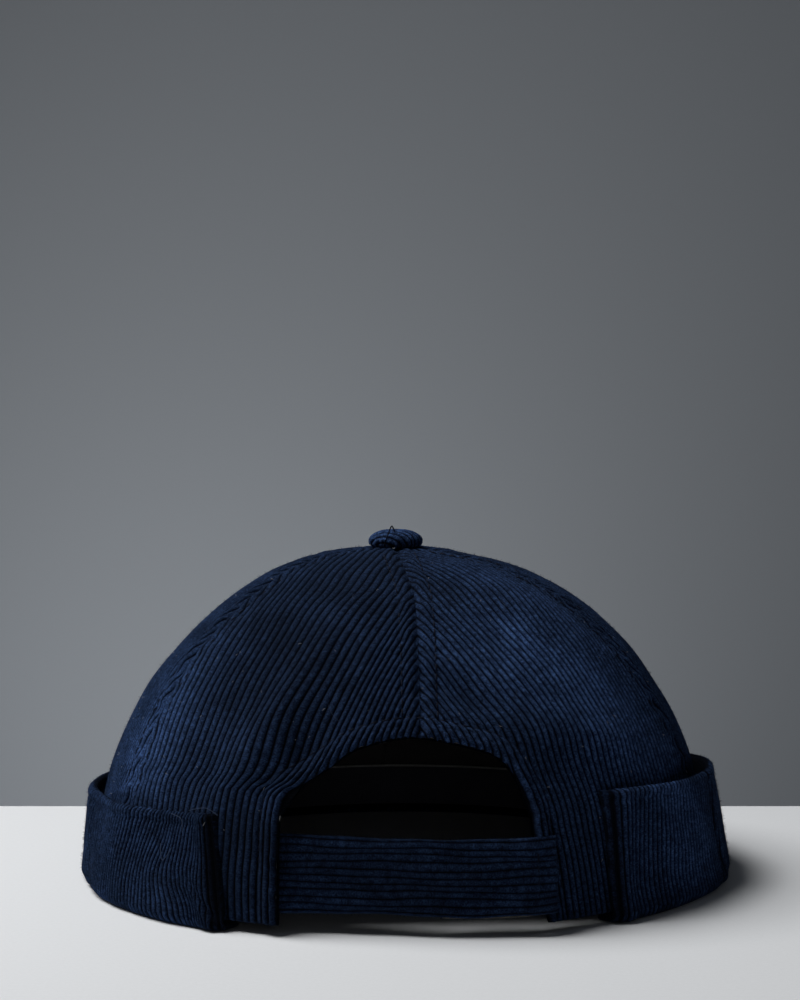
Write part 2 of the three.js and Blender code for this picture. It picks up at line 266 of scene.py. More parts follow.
# %% [markdown]
# ## A sheet of cloth as one closed piece
#
# Every piece of the cap is cloth: thin, with two faces and soft edges. One helper sews them all. It
# takes the middle surface as a grid of points, the way that its face looks, and half its thickness,
# which runs down to nothing at every edge. The two faces are then welded where they meet, which
# leaves one closed mesh with round edges. Three attributes travel with the points: how high on a rib
# each one lies, how much lighter or darker its pile is painted, partly for its nap and partly as
# painted light and shade, and its place along the grain. The materials read them.
# Where cloth is turned in, as round the opening, the rounded edges wear the outer cloth as well.

# %% Sheets of cloth
Sheet = namedtuple("Sheet", "middle normal half relief rib grain")
WELD, FULL_WALL, FAR = 2e-6, 0.98, 99.0


def grid_faces(rows, columns, start):
    i, j = np.meshgrid(np.arange(rows - 1), np.arange(columns - 1), indexing="ij")
    corner = (start + i * columns + j).ravel()
    return np.stack([corner, corner + 1, corner + columns + 1, corner + columns], -1)


def mesh_object(name, points, faces, face_slots, attributes, materials):
    """A smooth mesh from millimetre points, welded where points coincide."""
    mesh = bpy.data.meshes.new(name)
    mesh.from_pydata((points * MM).tolist(), [], faces.tolist())
    mesh.polygons.foreach_set("material_index", np.asarray(face_slots, np.int32))
    for key, values in attributes.items():
        kind = "FLOAT" if values.ndim == 1 else "FLOAT_VECTOR"
        layer = mesh.attributes.new(key, kind, "POINT")
        field = "value" if values.ndim == 1 else "vector"
        layer.data.foreach_set(field, values.astype(np.float32).ravel())
    work = bmesh.new()
    work.from_mesh(mesh)
    bmesh.ops.remove_doubles(work, verts=work.verts, dist=WELD)
    work.to_mesh(mesh)
    work.free()
    mesh.polygons.foreach_set("use_smooth", np.ones(len(mesh.polygons), bool))
    for material in materials:
        mesh.materials.append(material)
    return add_object(name, mesh)


# %% Painted light and shade on the pile, with its nap
TONE_RIPPLES = [Ripple(0.25, 18, 81), Ripple(0.18, 5, 82)]
PaintedLightSpot = namedtuple("PaintedLightSpot", "x y z wide tall tone")
# Spots of painted light and shade, partly the nap. Painted light falls on the upper right crown, the low
# left side, the right side and its cuff. Painted shade lies on the top and upper left, the left post, over
# the strap under the opening, and in the folds beside the cuff's two ends.
PAINTED_LIGHT_SPOTS = [
    PaintedLightSpot(34, -66, 76, 38, 28, 1.5),
    PaintedLightSpot(-74, -50, 48, 24, 24, 1.9),
    PaintedLightSpot(-72, -62, 14, 26, 20, -0.1),
    PaintedLightSpot(-8, -62, 90, 26, 14, -0.8),
    PaintedLightSpot(-42, -72, 72, 22, 18, -0.8),
    PaintedLightSpot(-42, -95, 18, 14, 18, -0.4),
    PaintedLightSpot(48, -90, 18, 12, 20, 0.2),
    PaintedLightSpot(0, -100, 14, 26, 12, -1.1),
    PaintedLightSpot(60, -66, 52, 24, 22, 1.5),
    PaintedLightSpot(76, -58, 16, 22, 22, 1.4),
    PaintedLightSpot(50.8, -90, 16, 3.5, 26, -1.5),
    PaintedLightSpot(-50, -92, 16, 4.5, 24, -1.1),
]
print(len(PAINTED_LIGHT_SPOTS), "lighter and darker areas")


def nap_and_painted_light(points):
    """How much lighter the pile is painted, 1 being plain: its nap at random,
    and spots of painted light and shade.
    """
    tone = add_ripples(0, points, TONE_RIPPLES)
    for spot in PAINTED_LIGHT_SPOTS:
        away = points - np.array([spot.x, spot.y, spot.z])
        flat = np.hypot(away[..., 0], away[..., 1]) / spot.wide
        tone = tone + spot.tone * bell(flat) * bell(away[..., 2] / spot.tall)
    return 2.0 ** tone


# %% Sew sheets together
def sew(name, sheets, materials, node, turned_in=False):
    """Joins sheets into one closed piece that stands for a node of the frame."""
    points, faces, slots, ribs, grains, start = [], [], [], [], [], 0
    for sheet in sheets:
        rows, columns = sheet.half.shape
        front = sheet.middle + sheet.normal * (sheet.half + sheet.relief)[..., None]
        back = sheet.middle - sheet.normal * sheet.half[..., None]
        thin = (sheet.half < FULL_WALL * sheet.half.max()).ravel()
        rounded = thin[grid_faces(rows, columns, 0)].any(1)
        inner = np.where(rounded, 0, 1) if turned_in else np.ones(len(rounded))
        for face, side in ((front, 0), (back, 1)):
            quads = grid_faces(rows, columns, start)
            faces.append(quads if side == 0 else quads[:, ::-1])
            slots.append(inner * side)
            points.append(face.reshape(-1, 3))
            ribs.append((sheet.rib * (1 - side)).ravel())
            grains.append(sheet.grain.reshape(-1, 3))
            start += rows * columns
    points, ribs, grains = (np.concatenate(parts) for parts in (points, ribs, grains))
    attributes = {"rib": ribs, "tone": nap_and_painted_light(points), "grain": grains}
    slots = np.concatenate(slots)
    piece = mesh_object(name, points, np.concatenate(faces), slots, attributes, materials)
    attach(piece, "root")
    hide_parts(node)
    print(name, len(piece.data.polygons), "faces")


def round_edge(distance, half):
    """Half the thickness near an edge, which rounds off over the sheet's own thickness."""
    inside = np.clip(distance / half, 0, 1)
    return half * np.sqrt(1 - (1 - inside) ** 2)


# %% [markdown]
# ## Corduroy
#
# Corduroy is velvet in stripes. Each rib, or wale, is a soft hump of cut pile, with a narrow groove
# between it and the next where the ground weave shows dark. On this cap the ribs are 2 mm apart and
# plain to see in outline, so they are real geometry, with mesh columns that run along them. The
# cloth's colour is darker in the groove, partly the ground weave and partly painted shade, and it has
# painted highlights on the crest. Most of the pile is too fine to model: a faint sheen, a fine bump
# and a mottled colour with painted glints stand for it, and tufts come at the end.

# %% Ribs
RIB_PITCH, RIB_DEPTH, RIB_FULLNESS = 2.0, 0.62, 0.75
RIB_STEPS = np.array([0.0, 0.1, 0.27, 0.5, 0.73, 0.9])


def rib_height(phase):
    """Height across one rib: 0 in the groove, 1 on the crest."""
    return np.abs(np.sin(np.pi * phase)) ** RIB_FULLNESS


def rib_lines(low, high, origin, pitch=RIB_PITCH, steps=RIB_STEPS):
    """Places of the mesh lines that describe each rib, between two ends."""
    first, last = math.floor((low - origin) / pitch), math.ceil((high - origin) / pitch)
    lines = (np.arange(first, last)[:, None] + steps[None, :]).ravel() * pitch + origin
    inside = lines[(lines > low + 0.1) & (lines < high - 0.1)]
    return np.concatenate([[low], inside, [high]])


# %% Helpers for materials
def new_material(name):
    material = bpy.data.materials.new(name)
    material.use_nodes = True
    tree = material.node_tree
    return material, tree, tree.nodes["Principled BSDF"]


def set_inputs(tree, node, inputs):
    """Sets each input of a node, or links it to another node's output."""
    for key, value in inputs.items():
        if isinstance(value, bpy.types.NodeSocket):
            tree.links.new(value, node.inputs[key])
        else:
            node.inputs[key].default_value = value


def add_node(tree, kind, inputs, **settings):
    made = tree.nodes.new(kind)
    for key, value in settings.items():
        setattr(made, key, value)
    set_inputs(tree, made, inputs)
    return made


def attribute(tree, name, output="Fac"):
    return add_node(tree, "ShaderNodeAttribute", {}, attribute_name=name).outputs[output]


def mixed(tree, share, first, second):
    return add_node(tree, "ShaderNodeMix", {0: share, 6: first, 7: second}, data_type="RGBA").outputs[2]


def computed(tree, operation, first, second):
    return add_node(tree, "ShaderNodeMath", {0: first, 1: second}, operation=operation).outputs[0]


def noise(tree, place, scale, detail, roughness=0.5):
    inputs = {"Vector": place, "Scale": scale, "Detail": detail, "Roughness": roughness}
    return add_node(tree, "ShaderNodeTexNoise", inputs).outputs["Fac"]


def bumped(tree, height, strength, distance):
    inputs = {"Height": height, "Strength": strength, "Distance": distance}
    return add_node(tree, "ShaderNodeBump", inputs).outputs["Normal"]


def shade(colour, share=1):
    return tuple(share * c for c in colour) + (1,)


def ramp(tree, value, stops):
    made = add_node(tree, "ShaderNodeValToRGB", {"Fac": value})
    elements = made.color_ramp.elements
    for element, (place, level) in zip(elements, (stops[0], stops[-1])):
        element.position, element.color = place, (level, level, level, 1)
    for place, level in stops[1:-1]:
        elements.new(place).color = (level, level, level, 1)
    return made.outputs["Color"]


# %% The corduroy material
# The groove colour is partly the ground weave and partly painted shade. The brightest colour is a painted
# highlight where tufts on the crests catch the light.
NAVY_GROOVE = (0.0005, 0.0007, 0.0020)
NAVY_PILE = (0.0036, 0.0066, 0.0185)
NAVY_GLINT = (0.0285, 0.0600, 0.1480)
SHEEN_TINT = (0.22, 0.42, 0.90)


def corduroy(name):
    """Navy pile in ribs: the groove partly painted shade, painted glints where tufts catch the light,
    and painted light and shade across the cap.
    """
    material, tree, surface = new_material(name)
    grain = attribute(tree, "grain", "Vector")
    pile = computed(tree, "MULTIPLY", noise(tree, grain, 2.6, 3.0, 0.8), 0.7)
    tufts = computed(tree, "MULTIPLY", noise(tree, grain, 0.8, 2.0), 0.3)
    both = computed(tree, "ADD", pile, tufts)
    crest = ramp(tree, attribute(tree, "rib"), [(0.3, 0), (0.9, 1)])
    flecks = ramp(tree, both, [(0.4, 0), (0.5, 0.28), (0.62, 1)])
    plain = mixed(tree, crest, shade(NAVY_GROOVE), shade(NAVY_PILE))
    glinting = mixed(tree, computed(tree, "MULTIPLY", flecks, crest), plain, shade(NAVY_GLINT))
    tone = {0: glinting, "Scale": attribute(tree, "tone")}
    nap_and_light_colour = add_node(tree, "ShaderNodeVectorMath", tone, operation="SCALE").outputs["Vector"]
    set_inputs(tree, surface, {
        "Base Color": nap_and_light_colour, "Roughness": 0.9, "Specular IOR Level": 0.03, "Sheen Weight": 0.04,
        "Sheen Roughness": 0.4, "Sheen Tint": shade(SHEEN_TINT), "Normal": bumped(tree, both, 1.0, 0.0011),
    })
    return material


navy = corduroy("navy_corduroy")

# %% [markdown]
# ## The plain cloths
#
# Behind the corduroy lie plain cloths: the lining, the sweatband, the narrow binding inside the
# opening, and the looped fastening tape. One woven material with different colours covers them: a
# wave texture each way gives the threads, and a noise breaks their evenness.

# %% Woven materials
def woven(name, colour, thread=0.5, sheen=0.1, depth=0.00008):
    """Plain weave: threads each way, `thread` millimetres apart."""
    material, tree, surface = new_material(name)
    grain = attribute(tree, "grain", "Vector")
    weave = {"Vector": grain, "Scale": 0.31 / thread, "Distortion": 0.6, "Detail": 1.0}
    warp, weft = (
        add_node(tree, "ShaderNodeTexWave", weave, bands_direction=axis).outputs["Fac"] for axis in "XY"
    )
    threads = computed(tree, "MULTIPLY", warp, weft)
    stained = computed(tree, "MULTIPLY", threads, noise(tree, grain, 0.12, 4.0))
    set_inputs(tree, surface, {
        "Base Color": mixed(tree, stained, shade(colour, 0.55), shade(colour)), "Roughness": 0.88,
        "Specular IOR Level": 0.15, "Sheen Weight": sheen, "Normal": bumped(tree, threads, 0.6, depth),
    })
    return material


def speckled(name, colour, dark, scale, detail, roughness, specular, bump):
    """A plain colour with fine specks, darker and a little lower than the rest."""
    material, tree, surface = new_material(name)
    place = add_node(tree, "ShaderNodeTexCoord", {}).outputs["Object"]
    speck = noise(tree, place, scale, detail)
    set_inputs(tree, surface, {
        "Base Color": mixed(tree, speck, shade(colour, dark), shade(colour)), "Roughness": roughness,
        "Specular IOR Level": specular, "Normal": bumped(tree, speck, *bump),
    })
    return material


def yarn(name, colour, roughness=0.7):
    """Twisted sewing thread."""
    return speckled(name, colour, 0.6, 2600.0, 1.0, roughness, 0.1, (0.5, 0.00005))


def matt(name, colour):
    """A matt painted board."""
    return speckled(name, colour, 0.93, 900.0, 2.0, 0.75, 0.2, (0.3, 0.0001))


lining = woven("lining_cloth", (0.240, 0.225, 0.225))
sweatband_cloth = woven("sweatband_cloth", (0.200, 0.200, 0.250), thread=0.7)
binding = woven("pale_binding", (0.085, 0.085, 0.095))
looped_tape = woven("looped_tape", (0.085, 0.080, 0.062), thread=0.4, sheen=0.2, depth=0.0002)

# %% [markdown]
# ## How the ribs lie on a panel
#
# A panel is cut like a leaf of an orange, with its ribs straight down its middle. So the ribs run
# parallel to the panel's centre line, and where two panels meet at a seam they make arrowheads. On
# the crown this means lines of equal sideways distance from the centre line. Each mesh column is
# such a line: it starts at the rim or at the opening, and ends where it runs into a seam. The tool
# of the trade would be a pattern and a seam allowance. Here it is a search for that meeting point.

# %% The plan of the crown, as arc length round it
PLAN_TURNS = np.linspace(-360, 720, 4321)
plan_angles = np.radians(PLAN_TURNS)
plan_speed = np.hypot(HALF_WIDTH * np.cos(plan_angles), HALF_DEPTH * np.sin(plan_angles))
plan_steps = (plan_speed[1:] + plan_speed[:-1]) / 2 * np.radians(np.diff(PLAN_TURNS))
PLAN_ARCS = np.concatenate([[0], np.cumsum(plan_steps)])


def arc_at(turn):
    return np.interp(turn, PLAN_TURNS, PLAN_ARCS)


def turn_at(arc):
    return np.interp(arc, PLAN_ARCS, PLAN_TURNS)


CLIMB_LOW = float(climb_of(RIM / HEIGHT))
CLIMB_HIGH = math.degrees(math.acos((APEX_HOLE / HALF_WIDTH) ** (ROUND_ACROSS / 2)))
MEAN_RADIUS = 96
MERIDIAN_CLIMBS = np.linspace(CLIMB_LOW, CLIMB_HIGH, 800)
meridian = np.stack([MEAN_RADIUS * reach_of(MERIDIAN_CLIMBS), HEIGHT * share_of(MERIDIAN_CLIMBS)], -1)
MERIDIAN_LENGTHS = path_lengths(meridian)
print("from rim to button:", round(MERIDIAN_LENGTHS[-1], 1), "mm")
print("round the rim:", round(arc_at(360) - arc_at(0), 1), "mm")


def length_at(climb):
    return np.interp(climb, MERIDIAN_CLIMBS, MERIDIAN_LENGTHS)


def climb_at_length(length):
    return np.interp(length, MERIDIAN_LENGTHS, MERIDIAN_CLIMBS)


# %% The seams
Seam = namedtuple("Seam", "turn lean")
SEAMS = {
    "back": Seam(2.2, 2),
    "back_right": Seam(77, -12),
    "front_right": Seam(129, 0),
    "front": Seam(184, 0),
    "front_left": Seam(240, 0),
    "back_left": Seam(300, -4),
}


def seam_turn(seam, share):
    return seam.turn + seam.lean * share


# %% The arched opening
ARCH_HALF_WIDTH, ARCH_TOP, ARCH_MIDDLE = 33.2, 49.3, 15.0
ARCH_ROWS = np.array([
    (-1.0, 0), (-1.0, 0.5), (-0.975, 0.66), (-0.925, 0.735), (-0.8, 0.78), (-0.6, 0.866), (-0.36, 0.966),
    (0.05, 1.02), (0.5, 0.965), (0.73, 0.905), (0.9, 0.765), (0.98, 0.63), (1.0, 0.495), (1.12, 0.06),
]) * (ARCH_HALF_WIDTH, ARCH_TOP)


def through_points(points, per=24):
    """A smooth curve through a few points."""
    padded = np.vstack([points[:1], points, points[-1:]])
    curve = []
    for a, b, c, d in zip(padded, padded[1:], padded[2:], padded[3:]):
        t = np.linspace(0, 1, per, endpoint=False)[:, None]
        bend = (c - a) / 2, (d - b) / 2
        curve.append(
            (2 * b - 2 * c + bend[0] + bend[1]) * t**3
            + (3 * c - 3 * b - 2 * bend[0] - bend[1]) * t**2
            + bend[0] * t + b
        )
    return np.vstack(curve + [points[-1:]])


arch = through_points(ARCH_ROWS)
arch_angles = np.degrees(np.arctan2(arch[:, 1] - ARCH_MIDDLE, arch[:, 0]))
arch_reaches = np.hypot(arch[:, 0], arch[:, 1] - ARCH_MIDDLE)
arch_order = np.argsort(arch_angles)


def beyond_arch(x, z):
    """How far a place of the back wall lies outside the opening's edge, seen from behind."""
    angle = np.degrees(np.arctan2(z - ARCH_MIDDLE, x))
    edge = np.interp(angle, arch_angles[arch_order], arch_reaches[arch_order])
    return np.hypot(x, z - ARCH_MIDDLE) - edge


def arch_side(z, side):
    """The x of the opening's left (-1) or right (1) edge at a height."""
    top = np.argmax(arch[:, 1])
    half = arch[: top + 1] if side < 0 else arch[top:][::-1]
    return np.interp(z, half[:, 1], half[:, 0])


def arch_distance(x, z, chunk=4000):
    """The distance to the nearest point of the opening's edge, seen from behind."""
    flat = np.stack([x.ravel(), z.ravel()], -1)
    best = np.empty(len(flat))
    for start in range(0, len(flat), chunk):
        part = flat[start:start + chunk]
        best[start:start + chunk] = np.sqrt(((part[:, None] - arch[None]) ** 2).sum(-1)).min(1)
    return best.reshape(x.shape)


# %% [markdown]
# ## Cutting a panel
#
# Near the back opening the cloth is turned in and stitched, which pulls its ribs parallel to the
# opening's sides. `pull_to_side` does the same to the columns. A column beside the opening runs
# from the rim, one above it starts at the opening's edge, so a back panel is two grids that share a
# row of points.

# %% Panels as sheets
EDGE_STEPS = np.array([0, 0.22, 0.55, 1.0, 1.6])
HALF_WALL = CROWN_WALL / 2
HEM_WIDTH, TOPSTITCH = 5.0, 4.7
SidePull = namedtuple("SidePull", "most low_reach reach lean lean_heights")
SIDE_PULLS = {
    -1: SidePull(most=8.0, low_reach=6.0, reach=34.0, lean=7.0, lean_heights=(30.0, 88.0)),
    1: SidePull(most=2.0, low_reach=4.0, reach=12.0, lean=8.0, lean_heights=(46.0, 86.0)),
}
PULL_RISE, FREE_HEIGHTS = (20.0, 32.0), (36.0, 60.0)
SHOULDER_STEPS = np.array([0.015, 0.04, 0.08, 0.14])
PITCH_GROWTH, GROWTH_REACH = {-1: 0.22, 0: 0.0, 1: 0.06}, (4, 22)
EDGE_GRIP, SEAM_RELEASE = 8, (0.6, 1.0)
DRIFT, DRIFT_SIZE, DRIFT_SEED, DRIFT_CLEARANCE, DRIFT_RISE = 0.22, 22, 5, 6, (4, 30)
PLACE_STEP, PLACE_REACH, BREAK_HEIGHT, SEARCH_REACH = 0.2, 160, 30.0, 120


def row_lengths(start, end, middle_rows):
    """Lengths along each column: close together at both ends, even between them."""
    span = end - start
    scale = np.minimum(1, span / (3.2 * EDGE_STEPS[-1]))
    low = start[None] + EDGE_STEPS[:, None] * scale[None]
    high = end[None] - EDGE_STEPS[::-1, None] * scale[None]
    share = np.linspace(0, 1, middle_rows + 2)[1:-1, None]
    return np.vstack([low, blend(low[-1:], high[:1], share), high])


# %% One panel and the way its ribs run
class Panel:
    """One of the six panels, with its ribs as lines of equal distance from its centre line."""

    def __init__(self, name, start, end, side=0):
        self.name, self.start, self.end, self.side = name, SEAMS[start], SEAMS[end], side
        self.sweep = (self.end.turn - self.start.turn) % 360
        self.origin = 0.0
        self.rim_width = self.half_width(CLIMB_LOW)
        if side:
            self.origin = self.edge_offset(np.array([0.0]))[0]
        self.places = np.linspace(-PLACE_REACH, PLACE_REACH, round(2 * PLACE_REACH / PLACE_STEP) + 1)
        beside = (self.places - self.origin) * (self.side or 1)
        pitch = RIB_PITCH * (1 + PITCH_GROWTH[self.side] * smoothstep(beside, *GROWTH_REACH))
        self.phases = np.cumsum(PLACE_STEP / pitch)
        self.phases -= np.interp(self.origin, self.places, self.phases)
        print(name, "is", round(self.rim_width * 2, 1), "mm wide at the rim")

    def phase(self, offset):
        """How many ribs a place lies from the opening's side."""
        return np.interp(offset, self.places, self.phases)

    def lines(self, low, high):
        """The mesh lines along the ribs between two offsets."""
        inside = rib_lines(*self.phase(np.array([low, high])), 0, pitch=1)[1:-1]
        return np.concatenate([[low], np.interp(inside, self.phases, self.places), [high]])

    def limits(self, climb):
        share = share_of(climb)
        start = arc_at(seam_turn(self.start, share))
        end = arc_at(self.start.turn + self.sweep + self.end.lean * share)
        return start, end

    def half_width(self, climb):
        start, end = self.limits(climb)
        return (end - start) / 2 * reach_of(climb)

    def edge_offset(self, z):
        """Sideways distance of the opening's side from the centre line."""
        climb = climb_of(np.maximum(z, RIM) / HEIGHT)
        x = arch_side(z, self.side)
        turn = np.degrees(np.arcsin((x - SHIFT) / (HALF_WIDTH * reach_of(climb))))
        for _ in range(4):
            short = x - crown_point(turn, climb)[..., 0]
            turn = turn + np.degrees(short / (HALF_WIDTH * reach_of(climb)))
        if self.side < 0:
            turn = turn + 360
        start, end = self.limits(climb)
        return (arc_at(turn) - (start + end) / 2) * reach_of(climb)

    def pull_to_side(self, offset, climb):
        """How far the ribs are drawn sideways: beside the opening they follow its edge."""
        pull = SIDE_PULLS[self.side]
        z = HEIGHT * share_of(climb)
        exact = self.edge_offset(np.minimum(z, BREAK_HEIGHT)) - self.origin
        further = self.edge_offset(z) - self.origin - exact
        reach = blend(pull.low_reach, pull.reach, smoothstep(z, *PULL_RISE))
        away = np.abs(offset - self.origin)
        lean = -self.side * pull.lean * smoothstep(z, *pull.lean_heights)
        lean = lean * (1 - bell(away / EDGE_GRIP) * (1 - smoothstep(z, *FREE_HEIGHTS)))
        inner = self.origin * self.side
        outer = (inner - offset * self.side) / (inner - self.rim_width)
        lean = lean * (1 - smoothstep(outer, *SEAM_RELEASE))
        return (exact + pull.most * np.tanh(further / pull.most)) * np.exp(-away / reach) + lean

    def turn(self, offset, climb):
        start, end = self.limits(climb)
        reach = reach_of(climb)
        sideways = offset + (self.pull_to_side(offset, climb) if self.side else 0)
        cloth = np.stack(np.broadcast_arrays(offset, length_at(climb)), -1)
        drift = DRIFT * soft_noise(cloth, DRIFT_SIZE, DRIFT_SEED)
        drift = drift * (1 - abs(self.side) * bell((offset - self.origin) / DRIFT_CLEARANCE))
        sideways = sideways + drift * smoothstep(90 - climb, *DRIFT_RISE)
        return turn_at((start + end) / 2 + sideways / reach)

    def seam_distance(self, turn, climb):
        start, end = self.limits(climb)
        arc = arc_at(turn)
        reach = reach_of(climb)
        return (arc - start) * reach, (end - arc) * reach

    def last_climb(self, offsets):
        """The climb at which each rib runs into a seam."""
        climbs = np.linspace(CLIMB_LOW, CLIMB_HIGH, 500)
        turns = self.turn(offsets[None, :], climbs[:, None])
        left, right = self.seam_distance(turns, climbs[:, None])
        inside = np.minimum(left, right)
        return crossing(climbs, inside)

    def first_climb(self, offsets):
        """The climb at which each rib leaves the opening's edge."""
        climbs = np.linspace(CLIMB_HIGH, CLIMB_LOW, 700)
        points = crown_point(self.turn(offsets[None, :], climbs[:, None]), climbs[:, None])
        return crossing(climbs, beyond_arch(points[..., 0], points[..., 2]))


# %% Where a rib crosses a seam or an edge
def crossing(places, values):
    """The first place along each column where the values fall below nothing."""
    below = values < 0
    hit = np.where(below.any(0), below.argmax(0), len(places) - 1)
    before = np.maximum(hit - 1, 0)
    column = np.arange(values.shape[1])
    high, low = values[before, column], values[hit, column]
    share = np.where(below.any(0), high / np.maximum(high - low, 1e-9), 1)
    return blend(places[before], places[hit], np.clip(share, 0, 1))


# %% [markdown]
# ## Seams, hem and wrinkles of a panel
#
# A seam pulls the cloth into a valley, and the two lines of topstitching beside it press shallow
# channels. Between them the doubled seam allowance stands a little proud. Where round panels are
# eased together the cloth puckers in small uneven wrinkles across the seam. The hem of the opening
# is a doubled edge, so it is thicker and its rib ends look like a rope.

# %% Relief of a panel
SEAM_HUMPS = [Hump(-0.45, 0, 1.3), Hump(0.3, 2.7, 1.5), Hump(-0.32, TOPSTITCH, 0.5)]
PANEL_RIPPLES = [Ripple(0.3, 26, 21), Ripple(0.12, 9, 22)]
PUCKER, PUCKER_REACH, PUCKER_RISE = Ripple(0.42, 5.5, 11), 7.0, (3, 14)
CRUMPLE, CRUMPLE_PLACE, CRUMPLE_REACH = Ripple(0.28, 2.1, 23), 2.0, 2.4
HEM_RAISED, HEM_STEP, HEM_GROOVE = 0.7, 1.4, Hump(-0.35, HEM_WIDTH, 0.6)
ROPE = Hump(0.7, 1.3, 1.4)


def panel_relief(panel, turn, climb, rib, points):
    """How far the panel's face stands out beyond a plain wall, and its half thickness."""
    left, right = panel.seam_distance(turn, climb)
    seam = np.minimum(left, right)
    along = length_at(climb)
    height = points[..., 2]
    grain = np.stack([np.where(left < right, left, -right), along], -1)
    seam_fade = smoothstep(seam, 0.0, 1.6)
    relief = RIB_DEPTH * (rib * (0.35 + 0.65 * seam_fade) - 0.6)
    relief = add_humps(relief, seam, SEAM_HUMPS)
    pucker = soft_noise(grain * (0.45, 1.0), PUCKER.size, PUCKER.seed) * bell(seam / PUCKER_REACH)
    relief = relief + PUCKER.out * pucker * smoothstep(90 - climb, *PUCKER_RISE)
    relief = add_ripples(relief, points, PANEL_RIPPLES)
    border = np.minimum(seam, height - RIM)
    if panel.side:
        hem = np.where(height < ARCH_TOP + 12, arch_distance(points[..., 0], points[..., 2]), FAR)
        border = np.minimum(border, hem)
        relief = relief + HEM_RAISED * (1 - smoothstep(hem, HEM_WIDTH - HEM_STEP, HEM_WIDTH))
        crumple = CRUMPLE.out * soft_noise(points, CRUMPLE.size, CRUMPLE.seed)
        relief = relief + crumple * bell((hem - CRUMPLE_PLACE) / CRUMPLE_REACH)
        relief = add_humps(relief, hem, [HEM_GROOVE])
        relief = relief + ROPE.out * rib * bell((hem - ROPE.place) / ROPE.wide)
    half = round_edge(np.maximum(border, 0), HALF_WALL)
    return relief * half / HALF_WALL, half


# %% Cut a panel into one or two sheets
def panel_sheet(panel, offsets, start, end, middle_rows):
    lengths = row_lengths(length_at(start), length_at(end), middle_rows)
    climb = climb_at_length(lengths)
    offset = np.broadcast_to(offsets[None, :], climb.shape)
    turn = panel.turn(offset, climb)
    rib = rib_height(panel.phase(offset))
    outer = crown_point(turn, climb)
    relief, half = panel_relief(panel, turn, climb, rib, outer)
    middle = crown_point(turn, climb, -HALF_WALL)
    grain = np.stack([offset, lengths, 0 * offset + panel.start.turn], -1)
    return Sheet(middle, crown_normal(turn, climb), half, relief, rib, grain)


def cut_panel(panel, middle_rows=52):
    width = panel.half_width(CLIMB_LOW) - 0.02
    if not panel.side:
        offsets = panel.lines(-width, width)
        top = panel.last_climb(offsets)
        return [panel_sheet(panel, offsets, 0 * top + CLIMB_LOW, top, middle_rows)]
    beside = panel.lines(*sorted((panel.origin, panel.side * width)))
    top = panel.last_climb(beside)
    middle = np.minimum(float(climb_of(BREAK_HEIGHT / HEIGHT)), blend(CLIMB_LOW, top, 0.5))
    reach = np.linspace(panel.origin, panel.origin - panel.side * SEARCH_REACH, 900)
    room = panel.last_climb(reach) - panel.first_climb(reach)
    widest = reach[max(1, int(np.argmax(room < 0.05)) - 1)]
    above = panel.lines(*sorted((panel.origin, widest)))
    above = np.sort(np.concatenate([above, panel.origin - panel.side * SHOULDER_STEPS]))
    above_top = panel.last_climb(above)
    above_start = np.minimum(panel.first_climb(above), above_top)
    upper = [
        np.concatenate([first, second[1:]] if panel.side < 0 else [second[:-1], first])
        for first, second in ((beside, above), (middle, above_start), (top, above_top))
    ]
    lower = panel_sheet(panel, beside, 0 * middle + CLIMB_LOW, middle, 12)
    return [lower, panel_sheet(panel, *upper, middle_rows)]


# %% The six panels
PANELS = [
    Panel("panel_back_left", "back_left", "back", side=-1),
    Panel("panel_back_right", "back", "back_right", side=1),
    Panel("panel_side_right", "back_right", "front_right"),
    Panel("panel_front_right", "front_right", "front"),
    Panel("panel_front_left", "front", "front_left"),
    Panel("panel_side_left", "front_left", "back_left"),
]
for panel in PANELS:
    turned_in = panel.side != 0
    sew("cloth_" + panel.name, cut_panel(panel), [navy, lining], panel.name, turned_in)

# %% [markdown]
# ## The cuff
#
# The cuff is a doubled band of the same cloth. It is sewn to the rim, turns up on the table and
# stands round the crown, so in section it is a J: a foot under the crown, a round bend, a wall and
# a lip. Its ribs run down the wall and round the bend. A short table gives its height and how far
# it stands off the crown from place to place, and its two ends roll in towards the crown, because
# four layers of cloth are folded there.

# %% Sizes of the cuff
CUFF_HEIGHT, CUFF_WALL, CUFF_TURN_RADIUS, CUFF_HEM = 33.8, 2.4, 3.0, 1.0
CUFF_GAP_TOP, CUFF_GAP_BASE, CUFF_HOLLOW = 3.4, 1.9, 0.9
SWEATBAND_TOP, SWEATBAND_WALL, SWEATBAND_LEAN = 16.5, 1.0, 3.8
CUFF_RIGHT_TURNS, CUFF_LEFT_TURNS = (37, 38), (330.5, 326.3)
CUFF_END_ROLL, CUFF_END_PUFF, CUFF_SEAM_TURNS = 3.6, 1.3, (73, 285)
CUFF_PITCH, CUFF_GATHER, CUFF_SPIRAL, CUFF_END_REACH = 2.06, 0.19, 5.0, 16.0
CREASE_REACH, CREASE_HEIGHT, FOLD_SHIFT, CUFF_LIP = 9.0, 9.5, 4.0, 4.2
CUFF_EASE, CUFF_SUNK, CUFF_FOOT, CUFF_GATHERED = 1.03, 1.3, 6.0, (0.7, 0.85)
CUFF_RIB_STEPS = np.array([0.0, 0.12, 0.35, 0.65, 0.88])
LIP_HUMPS = [Hump(-0.22, 2.8, 0.55), Hump(0.2, 1.2, 1.0)]
CREASE_HUMPS = [Hump(0.6, -1.0, 1.1), Hump(-0.9, 1.4, 1.6)]
CUFF_SEAM_HUMPS = [Hump(-0.9, 0, 0.9), Hump(0.4, 3.0, 2.0)]
CUFF_RIPPLES = [Ripple(0.35, 24, 41), Ripple(0.12, 8, 42)]
CuffRow = namedtuple("CuffRow", "turn tall base top")
